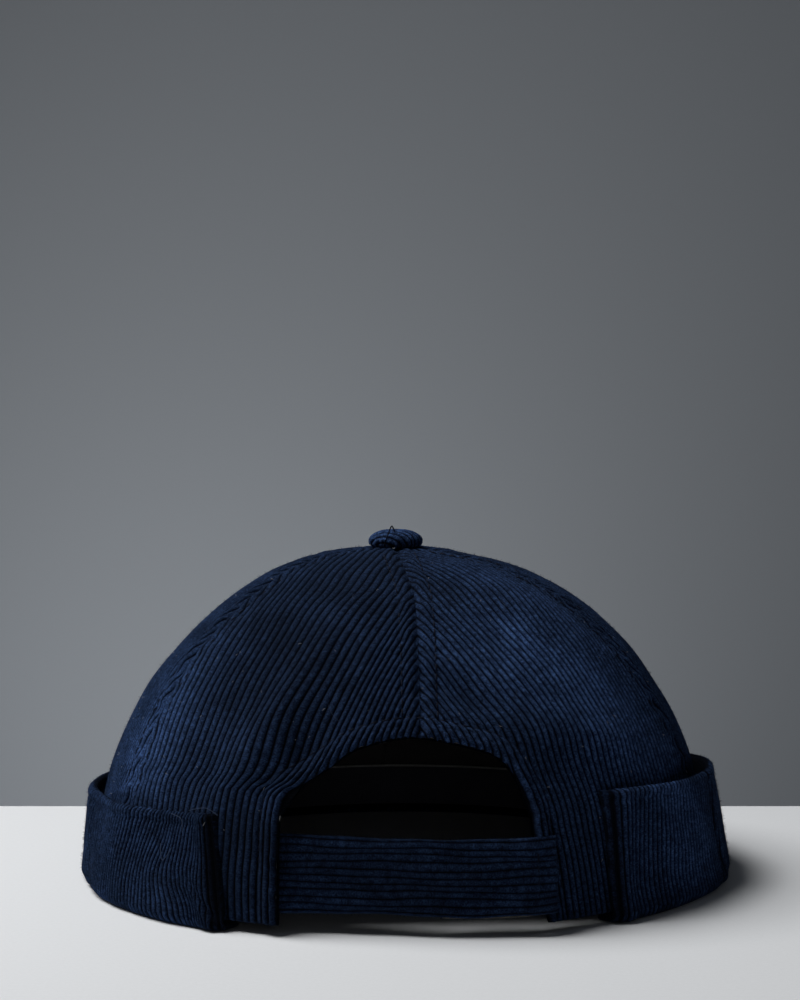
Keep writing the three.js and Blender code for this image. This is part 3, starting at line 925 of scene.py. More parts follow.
CUFF_ROWS = [
    CuffRow(38, 1.02, 0.3, 0.1),
    CuffRow(46, 1.01, 0.8, 0.5),
    CuffRow(60, 0.98, 1.4, 0.9),
    CuffRow(88, 0.95, 1.7, 1.05),
    CuffRow(112, 0.86, 1.5, 0.95),
    CuffRow(180, 0.92, 1.0, 1.0),
    CuffRow(245, 0.74, 0.6, 0.8),
    CuffRow(270, 0.785, 0.35, 0.7),
    CuffRow(300, 0.82, 0.4, 0.7),
    CuffRow(316, 0.85, 0.5, 0.45),
    CuffRow(326, 0.87, 0.5, 0.1),
]
CuffWave = namedtuple("CuffWave", "turn wide out")
CUFF_WAVES = [
    CuffWave(302, 5, 0.22),
    CuffWave(311, 4, -0.2),
    CuffWave(290, 6, -0.15),
    CuffWave(66, 8, -0.12),
    CuffWave(110, 9, 0.15),
    CuffWave(165, 12, 0.12),
    CuffWave(245, 9, -0.12),
]
print("the cuff has", len(CUFF_ROWS), "rows of sizes and", len(CUFF_WAVES), "waves")


# %% Read the cuff's sizes
def read_table(rows, column, place):
    """A column of a table, read smoothly between its rows."""
    places = np.array([row.turn for row in rows], float)
    values = np.array([getattr(row, column) for row in rows], float)
    slopes = np.gradient(values, places)
    i = np.clip(np.searchsorted(places, place) - 1, 0, len(places) - 2)
    width = places[i + 1] - places[i]
    t = (place - places[i]) / width
    rise = values[i] * (2 * t**3 - 3 * t**2 + 1) + values[i + 1] * (3 * t**2 - 2 * t**3)
    return rise + width * (slopes[i] * (t**3 - 2 * t**2 + t) + slopes[i + 1] * (t**3 - t**2))


def cuff_gap(turn, up):
    """The gap between the crown and the cuff, from the bend (0) to the lip (1)."""
    inner_radius = CUFF_TURN_RADIUS - CUFF_WALL
    base = CLEARANCE + inner_radius + CUFF_GAP_BASE * read_table(CUFF_ROWS, "base", turn)
    top = CLEARANCE + CUFF_GAP_TOP * read_table(CUFF_ROWS, "top", turn)
    for wave in CUFF_WAVES:
        top = top + CUFF_GAP_TOP * wave.out * bell(turn_from(wave.turn, turn) / wave.wide)
    return np.maximum(CLEARANCE, blend(base, top, up) - CUFF_HOLLOW * 4 * up * (1 - up))


# %% The cuff's ribs, turns and relief
def cuff_ribs():
    """The cuff's length, the rib phase of each mesh line and its place along the cuff."""
    length = (arc_at(CUFF_LEFT_TURNS[0]) - arc_at(CUFF_RIGHT_TURNS[0])) * CUFF_EASE
    places = np.linspace(0, length, 2000)
    pitch = CUFF_PITCH * (1 - CUFF_GATHER * smoothstep(places / length, *CUFF_GATHERED))
    phases = np.cumsum(places[1] / pitch)
    steps = rib_lines(0, phases[-1], 0, pitch=1, steps=CUFF_RIB_STEPS)
    return length, steps, np.interp(steps, phases, places)


def cuff_turns(offsets, length, height, up):
    """Where the ribs stand at a height: they lean with the two ends and drift a little between."""
    share, from_left = offsets / length, length - offsets
    right, right_top = arc_at(np.array(CUFF_RIGHT_TURNS))
    left, left_top = arc_at(np.array(CUFF_LEFT_TURNS))
    start_lean = (right_top - right) * up * bell(offsets / CUFF_END_REACH)
    end_lean = (left_top - left) * up * bell(from_left / CUFF_END_REACH)
    sway = 0.2 + 0.75 * smoothstep(share, 0.78, 0.9)
    drift = sway * soft_noise(np.stack([offsets, 1.4 * height], -1), 19, 31) + CUFF_SPIRAL * (up - 0.5)
    drift = drift * smoothstep(np.minimum(offsets, from_left), 0, 14) * smoothstep(height, 0, 12)
    drift = drift + FOLD_SHIFT * bell((from_left - 17) / 9) * smoothstep(16 - height, 0, 12)
    return turn_at(blend(right, left, share) + start_lean + end_lean + drift)


def cuff_relief(point, turn, rib, under_lip, from_left, end_puff):
    """How far the cuff's face stands out, and what its seams leave of the ribs."""
    relief = add_humps(RIB_DEPTH * (rib - CUFF_SUNK), under_lip, LIP_HUMPS) + end_puff
    relief = add_ripples(relief, point, CUFF_RIPPLES)
    crease = point[:, 2] - CREASE_HEIGHT * np.clip(from_left / CREASE_REACH, -0.3, 1.2)
    relief = relief + bell((from_left - 3) / CREASE_REACH) * add_humps(0, crease, CREASE_HUMPS)
    for seam in CUFF_SEAM_TURNS:
        across = turn_from(seam, turn) * math.pi / 180 * HALF_WIDTH
        relief = add_humps(relief, across, CUFF_SEAM_HUMPS)
        rib = rib * (1 - bell(across / 0.7))
    return relief, rib


# %% Make the cuff
FOOT_SHARES, BEND_ANGLES = np.array([0, 0.06, 0.2, 0.5]), np.radians(np.linspace(0, 90, 7))
WALL_SHARES = np.linspace(0.07, 0.97, 14)
LIP_STEPS = np.array([CUFF_LIP, 3.6, 3.1, 2.7, 2.3, 1.9, 1.4, 0.8, 0.35, 0.1, 0.0])
CUFF_STATIONS = {"foot": FOOT_SHARES, "bend": BEND_ANGLES, "wall": WALL_SHARES, "lip": LIP_STEPS}


def cuff_sheet():
    half_wall = CUFF_WALL / 2
    length, steps, offsets = cuff_ribs()
    top_right, top_left = arc_at(CUFF_RIGHT_TURNS[1]), arc_at(CUFF_LEFT_TURNS[1])
    top_turn = turn_at(blend(top_right, top_left, offsets / length))
    tall = CUFF_HEIGHT * read_table(CUFF_ROWS, "tall", top_turn)
    from_end = np.minimum(offsets, length - offsets)
    end_half = round_edge(from_end * half_wall / CUFF_END_ROLL, half_wall)
    end_puff = CUFF_END_PUFF * bell((from_end - 5.0) / 4.0)
    inside = CROWN_WALL + CLEARANCE + SWEATBAND_WALL + CUFF_HEM
    rows = []
    for kind, value in [(kind, value) for kind, values in CUFF_STATIONS.items() for value in values]:
        height = {
            "foot": half_wall + 0 * tall,
            "bend": CUFF_TURN_RADIUS - (CUFF_TURN_RADIUS - half_wall) * math.cos(value) + 0 * tall,
            "wall": blend(CUFF_TURN_RADIUS, tall - CUFF_LIP, value),
            "lip": tall - value,
        }[kind]
        up = np.clip((height - CUFF_TURN_RADIUS) / (tall - CUFF_TURN_RADIUS), 0, 1)
        turn = cuff_turns(offsets, length, height, up)
        bend_out = cuff_gap(turn, 0) + CUFF_WALL - CUFF_TURN_RADIUS
        if kind == "foot":
            out, tilt = blend(-inside, bend_out, value), 0.0
        elif kind == "bend":
            out, tilt = bend_out + (CUFF_TURN_RADIUS - half_wall) * math.sin(value), value
        else:
            out, tilt = cuff_gap(turn, up) + end_half, math.pi / 2
        point = beside_crown(turn, height, out)
        normal = outward(turn) * math.sin(tilt) + np.array([0, 0, -math.cos(tilt)])
        under_lip = tall - height
        edge = np.minimum(value * CUFF_FOOT if kind == "foot" else FAR, under_lip)
        half = np.minimum(round_edge(np.maximum(edge, 0), half_wall), end_half)
        relief, rib = cuff_relief(point, turn, rib_height(steps), under_lip, length - offsets, end_puff)
        # Painted shade: the rib is lowered near the cuff's ends, so the rolled ends are painted darker.
        rib = rib * (1 - 0.6 * bell((from_end - 1.5) / 2.2))
        lifted = {"foot": 0.0, "bend": float(smoothstep(math.degrees(tilt), 18, 60))}.get(kind, 1.0)
        point[:, 2] += 0.3 * rib * bell(under_lip / 1.2) * (from_end > 0.5)
        along_rib = height - out * (kind in ("foot", "bend"))
        grain = np.stack([offsets, along_rib, 0 * offsets + 7], -1)
        rows.append((point, normal, half, relief * half / half_wall * lifted, rib, grain))
    return Sheet(*(np.stack(column) for column in zip(*rows)))


sew("cloth_cuff", [cuff_sheet()], [navy, navy], "cuff")

# %% [markdown]
# ## Strap, tab and patch
#
# The strap is cut across the grain, so its ribs run along it. It comes out from inside the left
# side of the opening, is drawn tight across it and lies over the right side, where its end is
# folded double and stitched. Behind it a tab from the right side carries the looped patch that the
# strap closes on, and a line of the patch shows below the strap.

# %% Sizes of strap, tab and patch
FACING_WALL, FACING_WIDTH = 1.0, 8.5
STRAP_HEIGHT, STRAP_WALL, STRAP_LIFT, STRAP_OVERLAP, STRAP_DRAW = 19.6, 1.9, 5.2, 5.6, 4.7
STRAP_CROSSING, STRAP_RIBS = 0.8, 11
TAB_REACH, TAB_OVERLAP, TAB_HEIGHT, TAB_WALL, TAB_LIFT = 24.4, 8.5, 19.2, 1.7, 4.0
PATCH_WALL, PATCH_MARGIN = 1.0, 0.5
BEHIND_FACING = -(CROWN_WALL + FACING_WALL + 2 * CLEARANCE)


def strap_out(x):
    reach = STRAP_CROSSING * ARCH_HALF_WIDTH
    drawn = STRAP_DRAW * np.maximum(0, 1 - (x / ARCH_HALF_WIDTH) ** 2)
    return blend(BEHIND_FACING, CLEARANCE + STRAP_WALL, smoothstep(x, -reach, reach)) - drawn


def tab_out(x):
    return np.minimum(BEHIND_FACING, strap_out(x) - STRAP_WALL - PATCH_WALL - 2 * CLEARANCE)


def back_band(x, z, wall, out, relief, rib, edge_wave=0.0):
    """A band across the back as a sheet: x along it, z up it."""
    x, z = np.meshgrid(x, z)
    low, high = z.min(), z.max()
    edge = np.minimum(np.minimum(z - low, high - z), np.minimum(x - x.min(), x.max() - x))
    half = round_edge(edge, wall / 2)
    share = (z - low) / (high - low)
    wave = edge_wave * soft_noise(np.stack([x, 60 * share], -1), 16, 51)
    point = back_wall(x, z + wave, out(x) - wall / 2)
    grain = np.stack([z, x, 0 * x + wall], -1)
    return Sheet(point, back_normal(x, z), half, relief(x, z) * half / (wall / 2), rib(z), grain)


def band_lines(low, high, step):
    """Even places between two edges, closer together beside them."""
    edge = np.array([0, 0.08, 0.25, 0.55, 1.0])
    count = max(2, round((high - low - 2) / step))
    return np.concatenate([low + edge, np.linspace(low + 1, high - 1, count + 1)[1:-1], high - edge[::-1]])


# %% Make the strap
strap_end = ARCH_HALF_WIDTH + STRAP_OVERLAP
strap_low, strap_high = STRAP_LIFT, STRAP_LIFT + STRAP_HEIGHT
strap_pitch = STRAP_HEIGHT / STRAP_RIBS
STRAP_FOLD, STRAP_STITCH = 10.5, 4.6


def strap_rib(z):
    return 0.25 + 0.75 * rib_height((z - strap_low) / strap_pitch + 0.5)


def strap_relief(x, z):
    fold = strap_end - STRAP_FOLD
    lift = 0.45 * strap_rib(z) - 0.3 + 0.35 * smoothstep(x, fold - 0.8, fold + 0.8)
    lift = lift - 0.4 * bell((x - strap_end + STRAP_STITCH) / 0.6)
    lift = lift + 0.35 * soft_noise(np.stack([x, z * 1.3], -1), 15, 52)
    return lift + 0.15 * soft_noise(np.stack([x, z], -1), 4, 53)


strap_heights = np.sort(np.concatenate([
    rib_lines(strap_low, strap_high, strap_low + strap_pitch / 2, strap_pitch),
    strap_low + np.array([0.05, 0.25]), strap_high - np.array([0.05, 0.25]),
]))
strap_places = band_lines(-strap_end, strap_end, 0.9)
strap = back_band(
    strap_places, strap_heights, STRAP_WALL, strap_out, strap_relief, strap_rib, edge_wave=0.3
)
sew("cloth_strap", [strap], [navy, lining], "strap")

# %% Make the tab and its patch
tab_start, tab_end = ARCH_HALF_WIDTH - TAB_REACH, ARCH_HALF_WIDTH + TAB_OVERLAP


def tab_rib(z):
    return rib_height((z - TAB_LIFT) / RIB_PITCH)


tab_places = band_lines(tab_start, tab_end, 1.2)
tab_heights = rib_lines(TAB_LIFT, TAB_LIFT + TAB_HEIGHT, TAB_LIFT)
tab = back_band(
    tab_places, tab_heights, TAB_WALL, tab_out, lambda x, z: 0.25 * tab_rib(z), tab_rib
)
sew("cloth_strap_tab", [tab], [navy, lining], "strap_tab")
patch = back_band(
    band_lines(tab_start + PATCH_MARGIN, ARCH_HALF_WIDTH - PATCH_MARGIN, 0.8),
    band_lines(TAB_LIFT + PATCH_MARGIN, TAB_LIFT + TAB_HEIGHT - PATCH_MARGIN, 0.7),
    PATCH_WALL, lambda x: tab_out(x) + CLEARANCE + PATCH_WALL,
    lambda x, z: 0.15 * soft_noise(np.stack([x, z], -1), 1.6, 61), lambda z: 0 * z,
)
sew("looped_patch", [patch], [looped_tape, looped_tape], "fastening_patch")

# %% [markdown]
# ## Inside: binding and sweatband
#
# A narrow binding covers the turned-in edge of the opening from inside, set back a little, and a
# thin pale edge of it shows at the left shoulder. The sweatband is a plain band that stands on the
# rim and leans inwards. Its top edge is finished with a thin pale piping, which is the light line
# seen through the opening.

# %% Make the binding
BINDING_SET_BACK, BINDING_THREAD = 0.6, 0.17


def binding_sheet(rows=9):
    lengths = path_lengths(arch)
    places = np.linspace(lengths[0], lengths[-1], 170)
    edge = read_line(places, lengths, arch)
    widths = band_lines(BINDING_SET_BACK, FACING_WIDTH, FACING_WIDTH / rows)
    flat = edge[None] + to_the_left(unit_steps(edge))[None] * widths[:, None, None]
    x, z = flat[..., 0], np.maximum(flat[..., 1], RIM)
    near_side = np.minimum(widths - BINDING_SET_BACK, FACING_WIDTH - widths)[:, None]
    near_end = np.minimum(places, places[-1] - places)[None]
    half = round_edge(np.minimum(near_side, near_end), FACING_WALL / 2)
    point = back_wall(x, z, -(CROWN_WALL + CLEARANCE + FACING_WALL / 2))
    across, along = np.broadcast_to(widths[:, None], x.shape), np.broadcast_to(places, x.shape)
    grain = np.stack([across, along, 0 * x + 3], -1)
    flipped = (values[:, ::-1] for values in (point, back_normal(x, z), half, 0 * half, 0 * half, grain))
    return Sheet(*flipped)


sew("binding_of_opening", [binding_sheet()], [binding, binding], "opening_facing")

# %% Tubes for piping and threads
def tube(path, radius, sides=6):
    """Points and faces of a closed round tube along a path, thinner at its two ends."""
    path = np.asarray(path, float)
    tangent = unit_steps(path)
    guide = np.array([0.31, 0.17, 0.93])
    first = np.cross(tangent, guide)
    first /= np.linalg.norm(first, axis=1)[:, None]
    second = np.cross(tangent, first)
    angles = np.linspace(0, 2 * np.pi, sides, endpoint=False)
    radii = np.full(len(path), float(radius))
    radii[0] *= 0.4
    radii[-1] *= 0.4
    ring = np.cos(angles)[:, None] * first[:, None] + np.sin(angles)[:, None] * second[:, None]
    points = (path[:, None] + radii[:, None, None] * ring).reshape(-1, 3)
    faces = []
    for i in range(len(path) - 1):
        for j in range(sides):
            k = (j + 1) % sides
            faces.append([i * sides + j, (i + 1) * sides + j, (i + 1) * sides + k, i * sides + k])
    faces.append(list(range(sides)))
    faces.append([(len(path) - 1) * sides + j for j in range(sides)][::-1])
    return points, faces


def curl(points, steps=24):
    """A smooth thread through a few points."""
    return through_points(np.asarray(points, float), per=max(2, steps // (len(points) - 1)))


def thread_piece(name, paths, radius, material, sides=6):
    """Many threads as one mesh."""
    points, faces, start = [], [], 0
    for path in paths:
        made, walls = tube(path, radius, sides)
        points.append(made)
        faces += [[start + corner for corner in wall] for wall in walls]
        start += len(made)
    points = np.concatenate(points)
    mesh = bpy.data.meshes.new(name)
    mesh.from_pydata((points * MM).tolist(), [], faces)
    mesh.polygons.foreach_set("use_smooth", np.ones(len(mesh.polygons), bool))
    mesh.materials.append(material)
    piece = add_object(name, mesh)
    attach(piece, "root")
    print(name, len(paths), "threads,", len(mesh.polygons), "faces")


# %% Make the sweatband and its piping
SWEATBAND_GAP, FACING_SET_BACK, PIPING_RADIUS = 2.8, 0.7, 0.42
facing_reach = ARCH_HALF_WIDTH * 1.12 + FACING_SET_BACK + FACING_WIDTH
sweatband_end = math.degrees(math.asin((facing_reach + SWEATBAND_GAP - SHIFT) / HALF_WIDTH))


def sweatband_sheet():
    turns = np.linspace(sweatband_end, 360 - sweatband_end, 220)
    heights = band_lines(RIM, SWEATBAND_TOP, 1.0)
    turn, height = np.meshgrid(turns, heights)
    up = (height - RIM) / (SWEATBAND_TOP - RIM)
    depth = CROWN_WALL + CLEARANCE + SWEATBAND_WALL / 2 + SWEATBAND_LEAN * up
    ends = np.minimum(turn - turns[0], turns[-1] - turn) * math.pi / 180 * HALF_WIDTH
    edge = np.minimum(np.minimum(height - RIM, SWEATBAND_TOP - height), ends)
    half = round_edge(edge, SWEATBAND_WALL / 2)
    point = beside_crown(turn, height, -depth)
    grain = np.stack([arc_at(turn), height, 0 * height + 5], -1)
    return Sheet(point, outward(turn), half, 0 * half, 0 * half, grain)


sew("inner_sweatband", [sweatband_sheet()], [sweatband_cloth, sweatband_cloth], "sweatband")
piping_turns = np.linspace(sweatband_end + 0.5, 359.5 - sweatband_end, 200)
piping_depth = CROWN_WALL + CLEARANCE + SWEATBAND_WALL / 2 + SWEATBAND_LEAN
pale_thread = yarn("pale_thread", (0.85, 0.84, 0.82))
piping = beside_crown(piping_turns, SWEATBAND_TOP + 0.1, -piping_depth)
thread_piece("sweatband_piping", [piping], PIPING_RADIUS, pale_thread)
edge_x = np.array([-20.6, -23.7, -26.5, -28.8, -30.6, -31.9, -32.6, -33.0])
edge_z = np.array([42.4, 40.8, 38.9, 37.3, 35.6, 33.6, 31.4, 28.6])
binding_edge = curl(back_wall(edge_x, edge_z, -(CROWN_WALL - 0.2)), 30)
thread_piece("binding_edge", [binding_edge], BINDING_THREAD, pale_thread)

# %% [markdown]
# ## The button
#
# A button covered with a scrap of the same corduroy hides the point where the six panels meet. The
# cloth is drawn over a shallow dome and gathered underneath, so the ribs run straight over the top
# and fold a little at the side. A grid in rings and spokes makes the dome, and the rib height is
# read from the flat pattern of the scrap.

# %% Make the button
BUTTON_RADIUS, BUTTON_HEIGHT, BUTTON_RIB_TURN, BUTTON_PITCH = 7.5, 4.9, 62, 1.75
BUTTON_ROWS = np.array([
    (0, 0), (0.86, 0), (0.97, 0.16), (1.0, 0.38), (0.94, 0.6), (0.74, 0.82), (0.44, 0.95), (0, 1),
]) * (BUTTON_RADIUS, BUTTON_HEIGHT)
# Painted light: the button's pile is painted 2.4 times lighter, for the light on the top of the cap.
BUTTON_PAINTED_LIGHT = 2.4
button_middle = np.array([SHIFT + APEX_SHIFT, -SET_BACK, HEIGHT + CLEARANCE])


def button_points(spokes=150):
    profile = through_points(BUTTON_ROWS, per=6)
    angles = np.linspace(0, 2 * np.pi, spokes, endpoint=False)
    out, up = profile[:, :1], profile[:, 1:]
    steps = np.linalg.norm(np.diff(profile, axis=0), axis=1)
    from_top = np.concatenate([np.cumsum(steps[::-1])[::-1], [0]])[:, None]
    flat = np.minimum(from_top, BUTTON_RADIUS * 1.3)
    turned = angles - math.radians(BUTTON_RIB_TURN)
    across = flat * np.cos(turned)
    rib = rib_height(across / BUTTON_PITCH + 0.2)
    slope = np.gradient(profile, axis=0)
    away = np.stack([slope[:, 1], -slope[:, 0]], -1)
    away /= np.maximum(np.linalg.norm(away, axis=1)[:, None], 1e-9)
    gathers = 0.25 * np.sin(17 * angles + 2 * np.sin(3 * angles)) * bell((up - 1.2) / 1.6)
    lift = (0.5 * rib + gathers) * smoothstep(up, 0.1, 1.0)
    ring = out + away[:, :1] * lift
    height = up + away[:, 1:] * lift
    points = np.stack([ring * np.cos(angles), ring * np.sin(angles), height + 0 * ring], -1)
    grain = np.stack([across, flat * np.sin(turned), 0 * across + 9], -1)
    return points + button_middle, rib, grain


def make_button():
    points, rib, grain = button_points()
    rings, spokes = rib.shape
    i, j = np.meshgrid(np.arange(rings - 1), np.arange(spokes), indexing="ij")
    following = (j + 1) % spokes
    ring, next_ring = i * spokes, (i + 1) * spokes
    corners = [ring + j, ring + following, next_ring + following, next_ring + j]
    faces = np.stack([c.ravel() for c in corners], -1)
    points, grain, plain = points.reshape(-1, 3), grain.reshape(-1, 3), np.zeros(len(faces))
    attributes = {"rib": rib.ravel(), "tone": np.full(rib.size, BUTTON_PAINTED_LIGHT), "grain": grain}
    piece = mesh_object("covered_button", points, faces, plain, attributes, [navy])
    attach(piece, "root")
    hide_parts("button")
    return piece


print("button has", len(make_button().data.polygons), "faces")

# %% [markdown]
# ## Threads and lint
#
# Two lines of topstitching run along each seam, and one follows the opening. The stitches are short
# and sink into the pile. A loop of thread stands up from the button, an end hangs from the strap's
# corner, tacks hold the ends of the cuff, and corduroy always carries loose threads and a little
# lint. All of it is thin tubes, many to a mesh. Tiny pointed tufts are the pile at the outline.

# %% Topstitching
navy_thread = yarn("navy_thread", (0.0026, 0.0056, 0.0170))
STITCH_LENGTH, STITCH_GAP, THREAD_RADIUS = 2.4, 0.7, 0.2


def stitches_along(points, normals, sink=0.15):
    """Short humps of thread along a line on the cloth."""
    steps = path_lengths(points)
    paths = []
    place = 0.5
    while place + STITCH_LENGTH < steps[-1]:
        shares = np.linspace(0, 1, 6)
        at = place + shares * STITCH_LENGTH
        hump = 0.45 * np.sin(np.pi * shares) ** 0.5 - 0.6 - sink
        paths.append(read_line(at, steps, points) + read_line(at, steps, normals) * hump[:, None])
        place += STITCH_LENGTH + STITCH_GAP
    return paths


def seam_line(seam, sideways):
    """A line of the crown beside a seam, at the height of the rib crests."""
    climb = np.linspace(CLIMB_LOW + 2, CLIMB_HIGH - 5.5, 260)
    turn = turn_at(arc_at(seam_turn(seam, share_of(climb))) + sideways / reach_of(climb))
    points = crown_point(turn, climb, 0.35)
    if abs(turn_from(0, seam.turn)) < 40:
        clear = beyond_arch(points[:, 0], points[:, 2]) > HEM_WIDTH
        points, turn, climb = points[clear], turn[clear], climb[clear]
    return points, crown_normal(turn, climb)


seam_paths = []
for seam in SEAMS.values():
    for sideways in (-TOPSTITCH, TOPSTITCH):
        seam_paths += stitches_along(*seam_line(seam, sideways))
thread_piece("seam_topstitching", seam_paths, THREAD_RADIUS, navy_thread)

hem_ring = arch[arch[:, 1] > 8]
hem_x, hem_z = (hem_ring + to_the_left(unit_steps(hem_ring)) * HEM_WIDTH).T
hem_stitches = stitches_along(back_wall(hem_x, hem_z, 0.4), back_normal(hem_x, hem_z))
thread_piece("hem_topstitching", hem_stitches, THREAD_RADIUS, navy_thread)

# %% The strap's stitches
row_z = np.linspace(strap_low + 1, strap_high - 1, 40)
row_x = 0 * row_z + strap_end - STRAP_STITCH
strap_row = back_wall(row_x, row_z, strap_out(row_x) + 0.75)
strap_stitches = stitches_along(strap_row, back_normal(row_x, row_z))
thread_piece("strap_stitching", strap_stitches, THREAD_RADIUS, navy_thread)

# %% The loop of thread on the button
LOOP_PLACE = button_middle + np.array([-3.4, -6.9, 0.0])
LOOP_POINTS = [
    (0.0, 0.2, 0.4), (0.5, -0.5, 2.2), (1.3, -0.2, 4.3), (1.9, 0.3, 5.9), (2.3, 0.7, 6.4),
    (2.7, 1.1, 5.8), (3.1, 1.8, 4.7),
]
loop = curl([LOOP_PLACE + point for point in LOOP_POINTS], 42)
thread_piece("button_thread_loop", [loop], 0.2, navy_thread, sides=8)

# %% Pile that stands up
FUZZ_LENGTH, FUZZ_RADIUS, FUZZ_LEAN, FUZZ_ROOT = 0.75, 0.045, 0.9, 0.1
FUZZ_CORNERS, PILE_CLEARANCE = (0, 2.09, 4.19), 1.6


def read_all(data, key, kind, width=1):
    """One property of all faces, corners or points, as an array."""
    values = np.empty(len(data) * width, kind)
    data.foreach_get(key, values)
    return values.reshape(-1, width) if width > 1 else values


def fuzz(name, pieces, count, seed):
    """Tiny pointed tufts of pile on the outer faces of some pieces, as one mesh."""
    places, ways, sizes = [], [], []
    for piece in pieces:
        polygons = piece.data.polygons
        middles, normals = (read_all(polygons, key, float, 3) for key in ("center", "normal"))
        side, first = (read_all(polygons, key, np.int32) for key in ("material_index", "loop_start"))
        corner = read_all(piece.data.loops, "vertex_index", np.int32)
        rib = read_all(piece.data.attributes["rib"].data, "value", np.float32)
        places.append(middles / MM)
        ways.append(normals)
        clear = (side == 0) & (places[-1][:, 2] > PILE_CLEARANCE)
        sizes.append(np.where(clear, read_all(polygons, "area", float), 0) * rib[corner[first]] ** 2)
    places, ways, sizes = (np.concatenate(values) for values in (places, ways, sizes))
    rng = np.random.default_rng(seed)
    chosen = rng.choice(len(places), count, p=sizes / sizes.sum())
    root, way = places[chosen], ways[chosen]
    lean = rng.normal(size=(count, 3))
    lean -= (lean * way).sum(1)[:, None] * way
    lean /= np.linalg.norm(lean, axis=1)[:, None]
    across = np.cross(way, lean)
    long = FUZZ_LENGTH * rng.uniform(0.5, 1.3, count)[:, None]
    tip = root + long * (way + FUZZ_LEAN * rng.uniform(0.2, 1, count)[:, None] * lean)
    corners = [
        root - FUZZ_ROOT * way + FUZZ_RADIUS * (math.cos(angle) * lean + math.sin(angle) * across)
        for angle in FUZZ_CORNERS
    ]
    points = np.stack([*corners, tip], 1).reshape(-1, 3)
    start = 4 * np.arange(count)[:, None]
    walls = np.array([[0, 1, 3], [1, 2, 3], [2, 0, 3], [0, 2, 1]])
    faces = (start[:, None] + walls).reshape(-1, 3)
    attributes = {"rib": np.ones(len(points)), "tone": np.repeat(nap_and_painted_light(root), 4), "grain": points}
    made = mesh_object(name, points, faces, np.zeros(len(faces)), attributes, [navy])
    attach(made, "root")
    print(name, len(faces), "faces")


crown_cloth = [bpy.data.objects["cloth_" + panel.name] for panel in PANELS]
fuzz("pile_of_crown", crown_cloth, 31000, 91)
band_cloth = [bpy.data.objects["cloth_cuff"], bpy.data.objects["cloth_strap"]]
fuzz("pile_of_cuff_and_strap", band_cloth, 15000, 92)

# %% Tacks and loose threads
def cuff_place(turn, height, lift=0.4):
    """A point on the outer face of the cuff."""
    tall = CUFF_HEIGHT * read_table(CUFF_ROWS, "tall", turn)
    up = np.clip((height - CUFF_TURN_RADIUS) / (tall - CUFF_TURN_RADIUS), 0, 1)
    return beside_crown(turn, height, cuff_gap(turn, up) + CUFF_WALL + lift)


def loose_thread(spots, lift):
    """A thread over the cuff through a few spots of (turn, height)."""
    turns, heights = np.array(spots, float).T
    return curl(cuff_place(turns, heights, lift), 30)


pale_fibre = yarn("pale_fibre", (0.34, 0.35, 0.38), roughness=0.8)
blue_fibre = yarn("blue_fibre", (0.060, 0.085, 0.150), roughness=0.8)


def scattered_fibres(count, length, seed):
    """Short curved fibres lying on the crown, the same ones each time."""
    rng = np.random.default_rng(seed)
    paths = []
    while len(paths) < count:
        turn, share = rng.uniform(0, 360), rng.uniform(0.08, 0.97)
        climb = float(climb_of(share))
        start = crown_point(turn, climb, 0.5)
        if abs(turn_from(0, turn)) < 40 and beyond_arch(start[0], start[2]) < 1.5:
            continue
        size = length * rng.uniform(0.4, 1.6)
        heading, bend = rng.uniform(0, 2 * np.pi), rng.normal(0, 1.6)
        shares = np.linspace(0, 1, 6)
        headings = heading + bend * shares
        sideways = np.cumsum(np.cos(headings)) * size / 6
        upwards = np.cumsum(np.sin(headings)) * size / 6
        reach = float(reach_of(climb))
        turns = turn_at(arc_at(turn) + sideways / reach)
        climbs = climb_at_length(length_at(climb) + upwards)
        lift = 0.35 + 0.5 * np.sin(np.pi * shares * rng.uniform(0.5, 1.3)) * rng.uniform(0.1, 1)
        paths.append(crown_point(turns, climbs, lift))
    return paths


thread_piece("lint_specks", scattered_fibres(190, 0.8, 71), 0.045, pale_fibre, sides=4)
thread_piece("stray_fibres", scattered_fibres(40, 5.5, 72), 0.035, blue_fibre, sides=4)
tacks = [
    loose_thread([(turn, height - 0.5), (turn + 0.3, height + 0.5)], 0.4)
    for turn, height in ((325.2, 27.0), (40.8, 32.5))
]
thread_piece("cuff_end_tacks", tacks, 0.06, pale_fibre, sides=4)
loose = [
    loose_thread([(318.0, 28.5), (320.6, 27.6), (321.4, 24.2)], 0.9),
    loose_thread([(316.5, 20.5), (317.6, 16.4), (319.4, 20.0)], 0.7),
    loose_thread([(322.0, 30.0), (325.5, 31.2), (328.0, 29.6)], 0.9),
]
thread_piece("loose_threads", loose, 0.06, blue_fibre, sides=5)
end_x = np.array([41.5, 43.2, 44.0, 43.4, 42.6])
end_z = np.array([9.0, 8.2, 5.4, 3.4, 4.6])
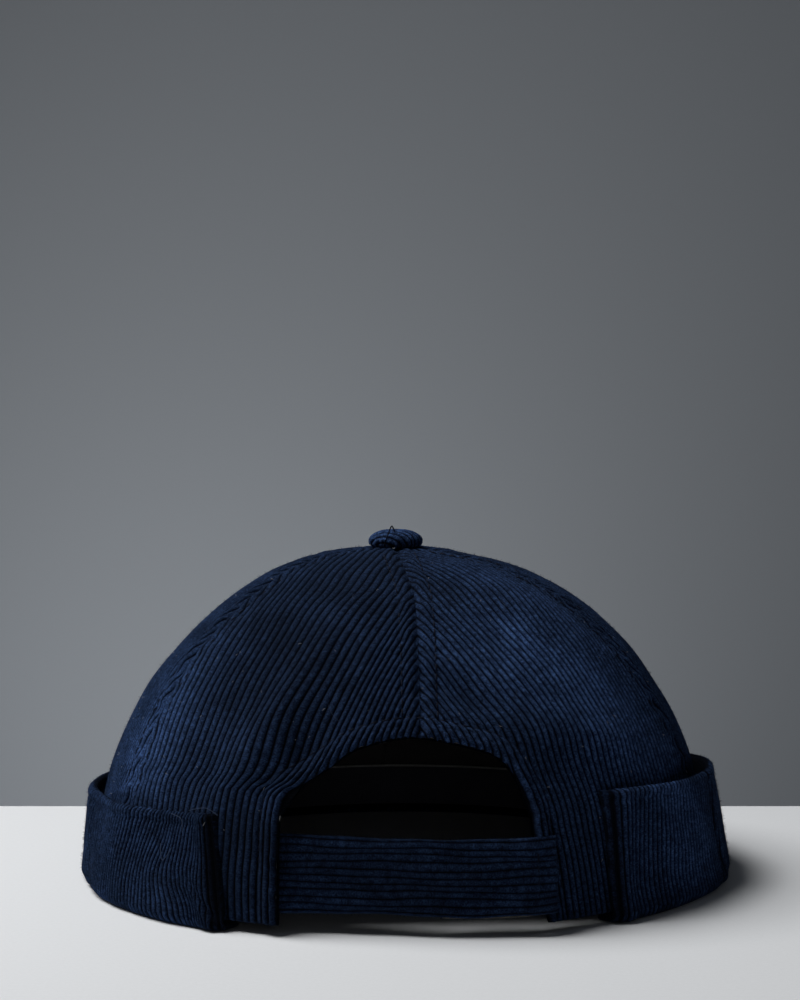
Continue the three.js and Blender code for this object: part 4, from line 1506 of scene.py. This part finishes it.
end_out = np.array([0.9, 1.6, 2.2, 1.8, 1.4])
end_curl = curl(back_wall(end_x, end_z, end_out), 32)
thread_piece("thread_end_of_strap", [end_curl], 0.1, navy_thread, sides=5)

# %% [markdown]
# ## The stage
#
# The photograph stands the cap on a pale table in front of a plain grey wall, under one large soft
# light from above and a little to the left. A weak light in front stands for the room, and one
# behind the table brightens the wall's foot. The table's far edge lies just behind the cap.

# %% Table, wall and lights
TABLE_EDGE = 0.104
WALL_PLACE = 1.3


def plain_sheet(name, corners, material):
    mesh = bpy.data.meshes.new(name)
    mesh.from_pydata([Vector(c) for c in corners], [], [(0, 1, 2, 3)])
    mesh.materials.append(material)
    piece = add_object(name, mesh)


def area_light(name, place, target, size, power, colour=(1, 1, 1)):
    data = bpy.data.lights.new(name, "AREA")
    data.shape, data.size, data.energy, data.color = "DISK", size, power, colour
    light = add_object(name, data)
    light.location = place
    light.rotation_euler = (Vector(target) - Vector(place)).to_track_quat("-Z", "Y").to_euler()


plain_sheet(
    "table", [(-3, -3, 0), (3, -3, 0), (3, TABLE_EDGE, 0), (-3, TABLE_EDGE, 0)],
    matt("pale_table", (0.72, 0.74, 0.77)),
)
plain_sheet(
    "wall", [(-4, WALL_PLACE, -2), (4, WALL_PLACE, -2), (4, WALL_PLACE, 3), (-4, WALL_PLACE, 3)],
    matt("grey_wall", (0.225, 0.243, 0.266)),
)
area_light("softbox", (-0.50, 0.04, 0.92), (0, 0, 0.03), 0.75, 12.8, (1.0, 0.99, 0.97))
area_light("room_fill", (0.05, -0.95, 0.20), (0, 0, 0.03), 0.40, 0.17)
area_light("wall_wash", (-0.17, 0.74, -0.27), (-0.24, WALL_PLACE, 0.26), 0.24, 2.9)
world = bpy.data.worlds.new("studio_air")
world.use_nodes = True
air = world.node_tree.nodes["Background"]
set_inputs(world.node_tree, air, {"Color": (0.38, 0.41, 0.46, 1), "Strength": 0.09})
bpy.context.scene.world = world
bpy.context.scene.view_settings.view_transform = "Standard"
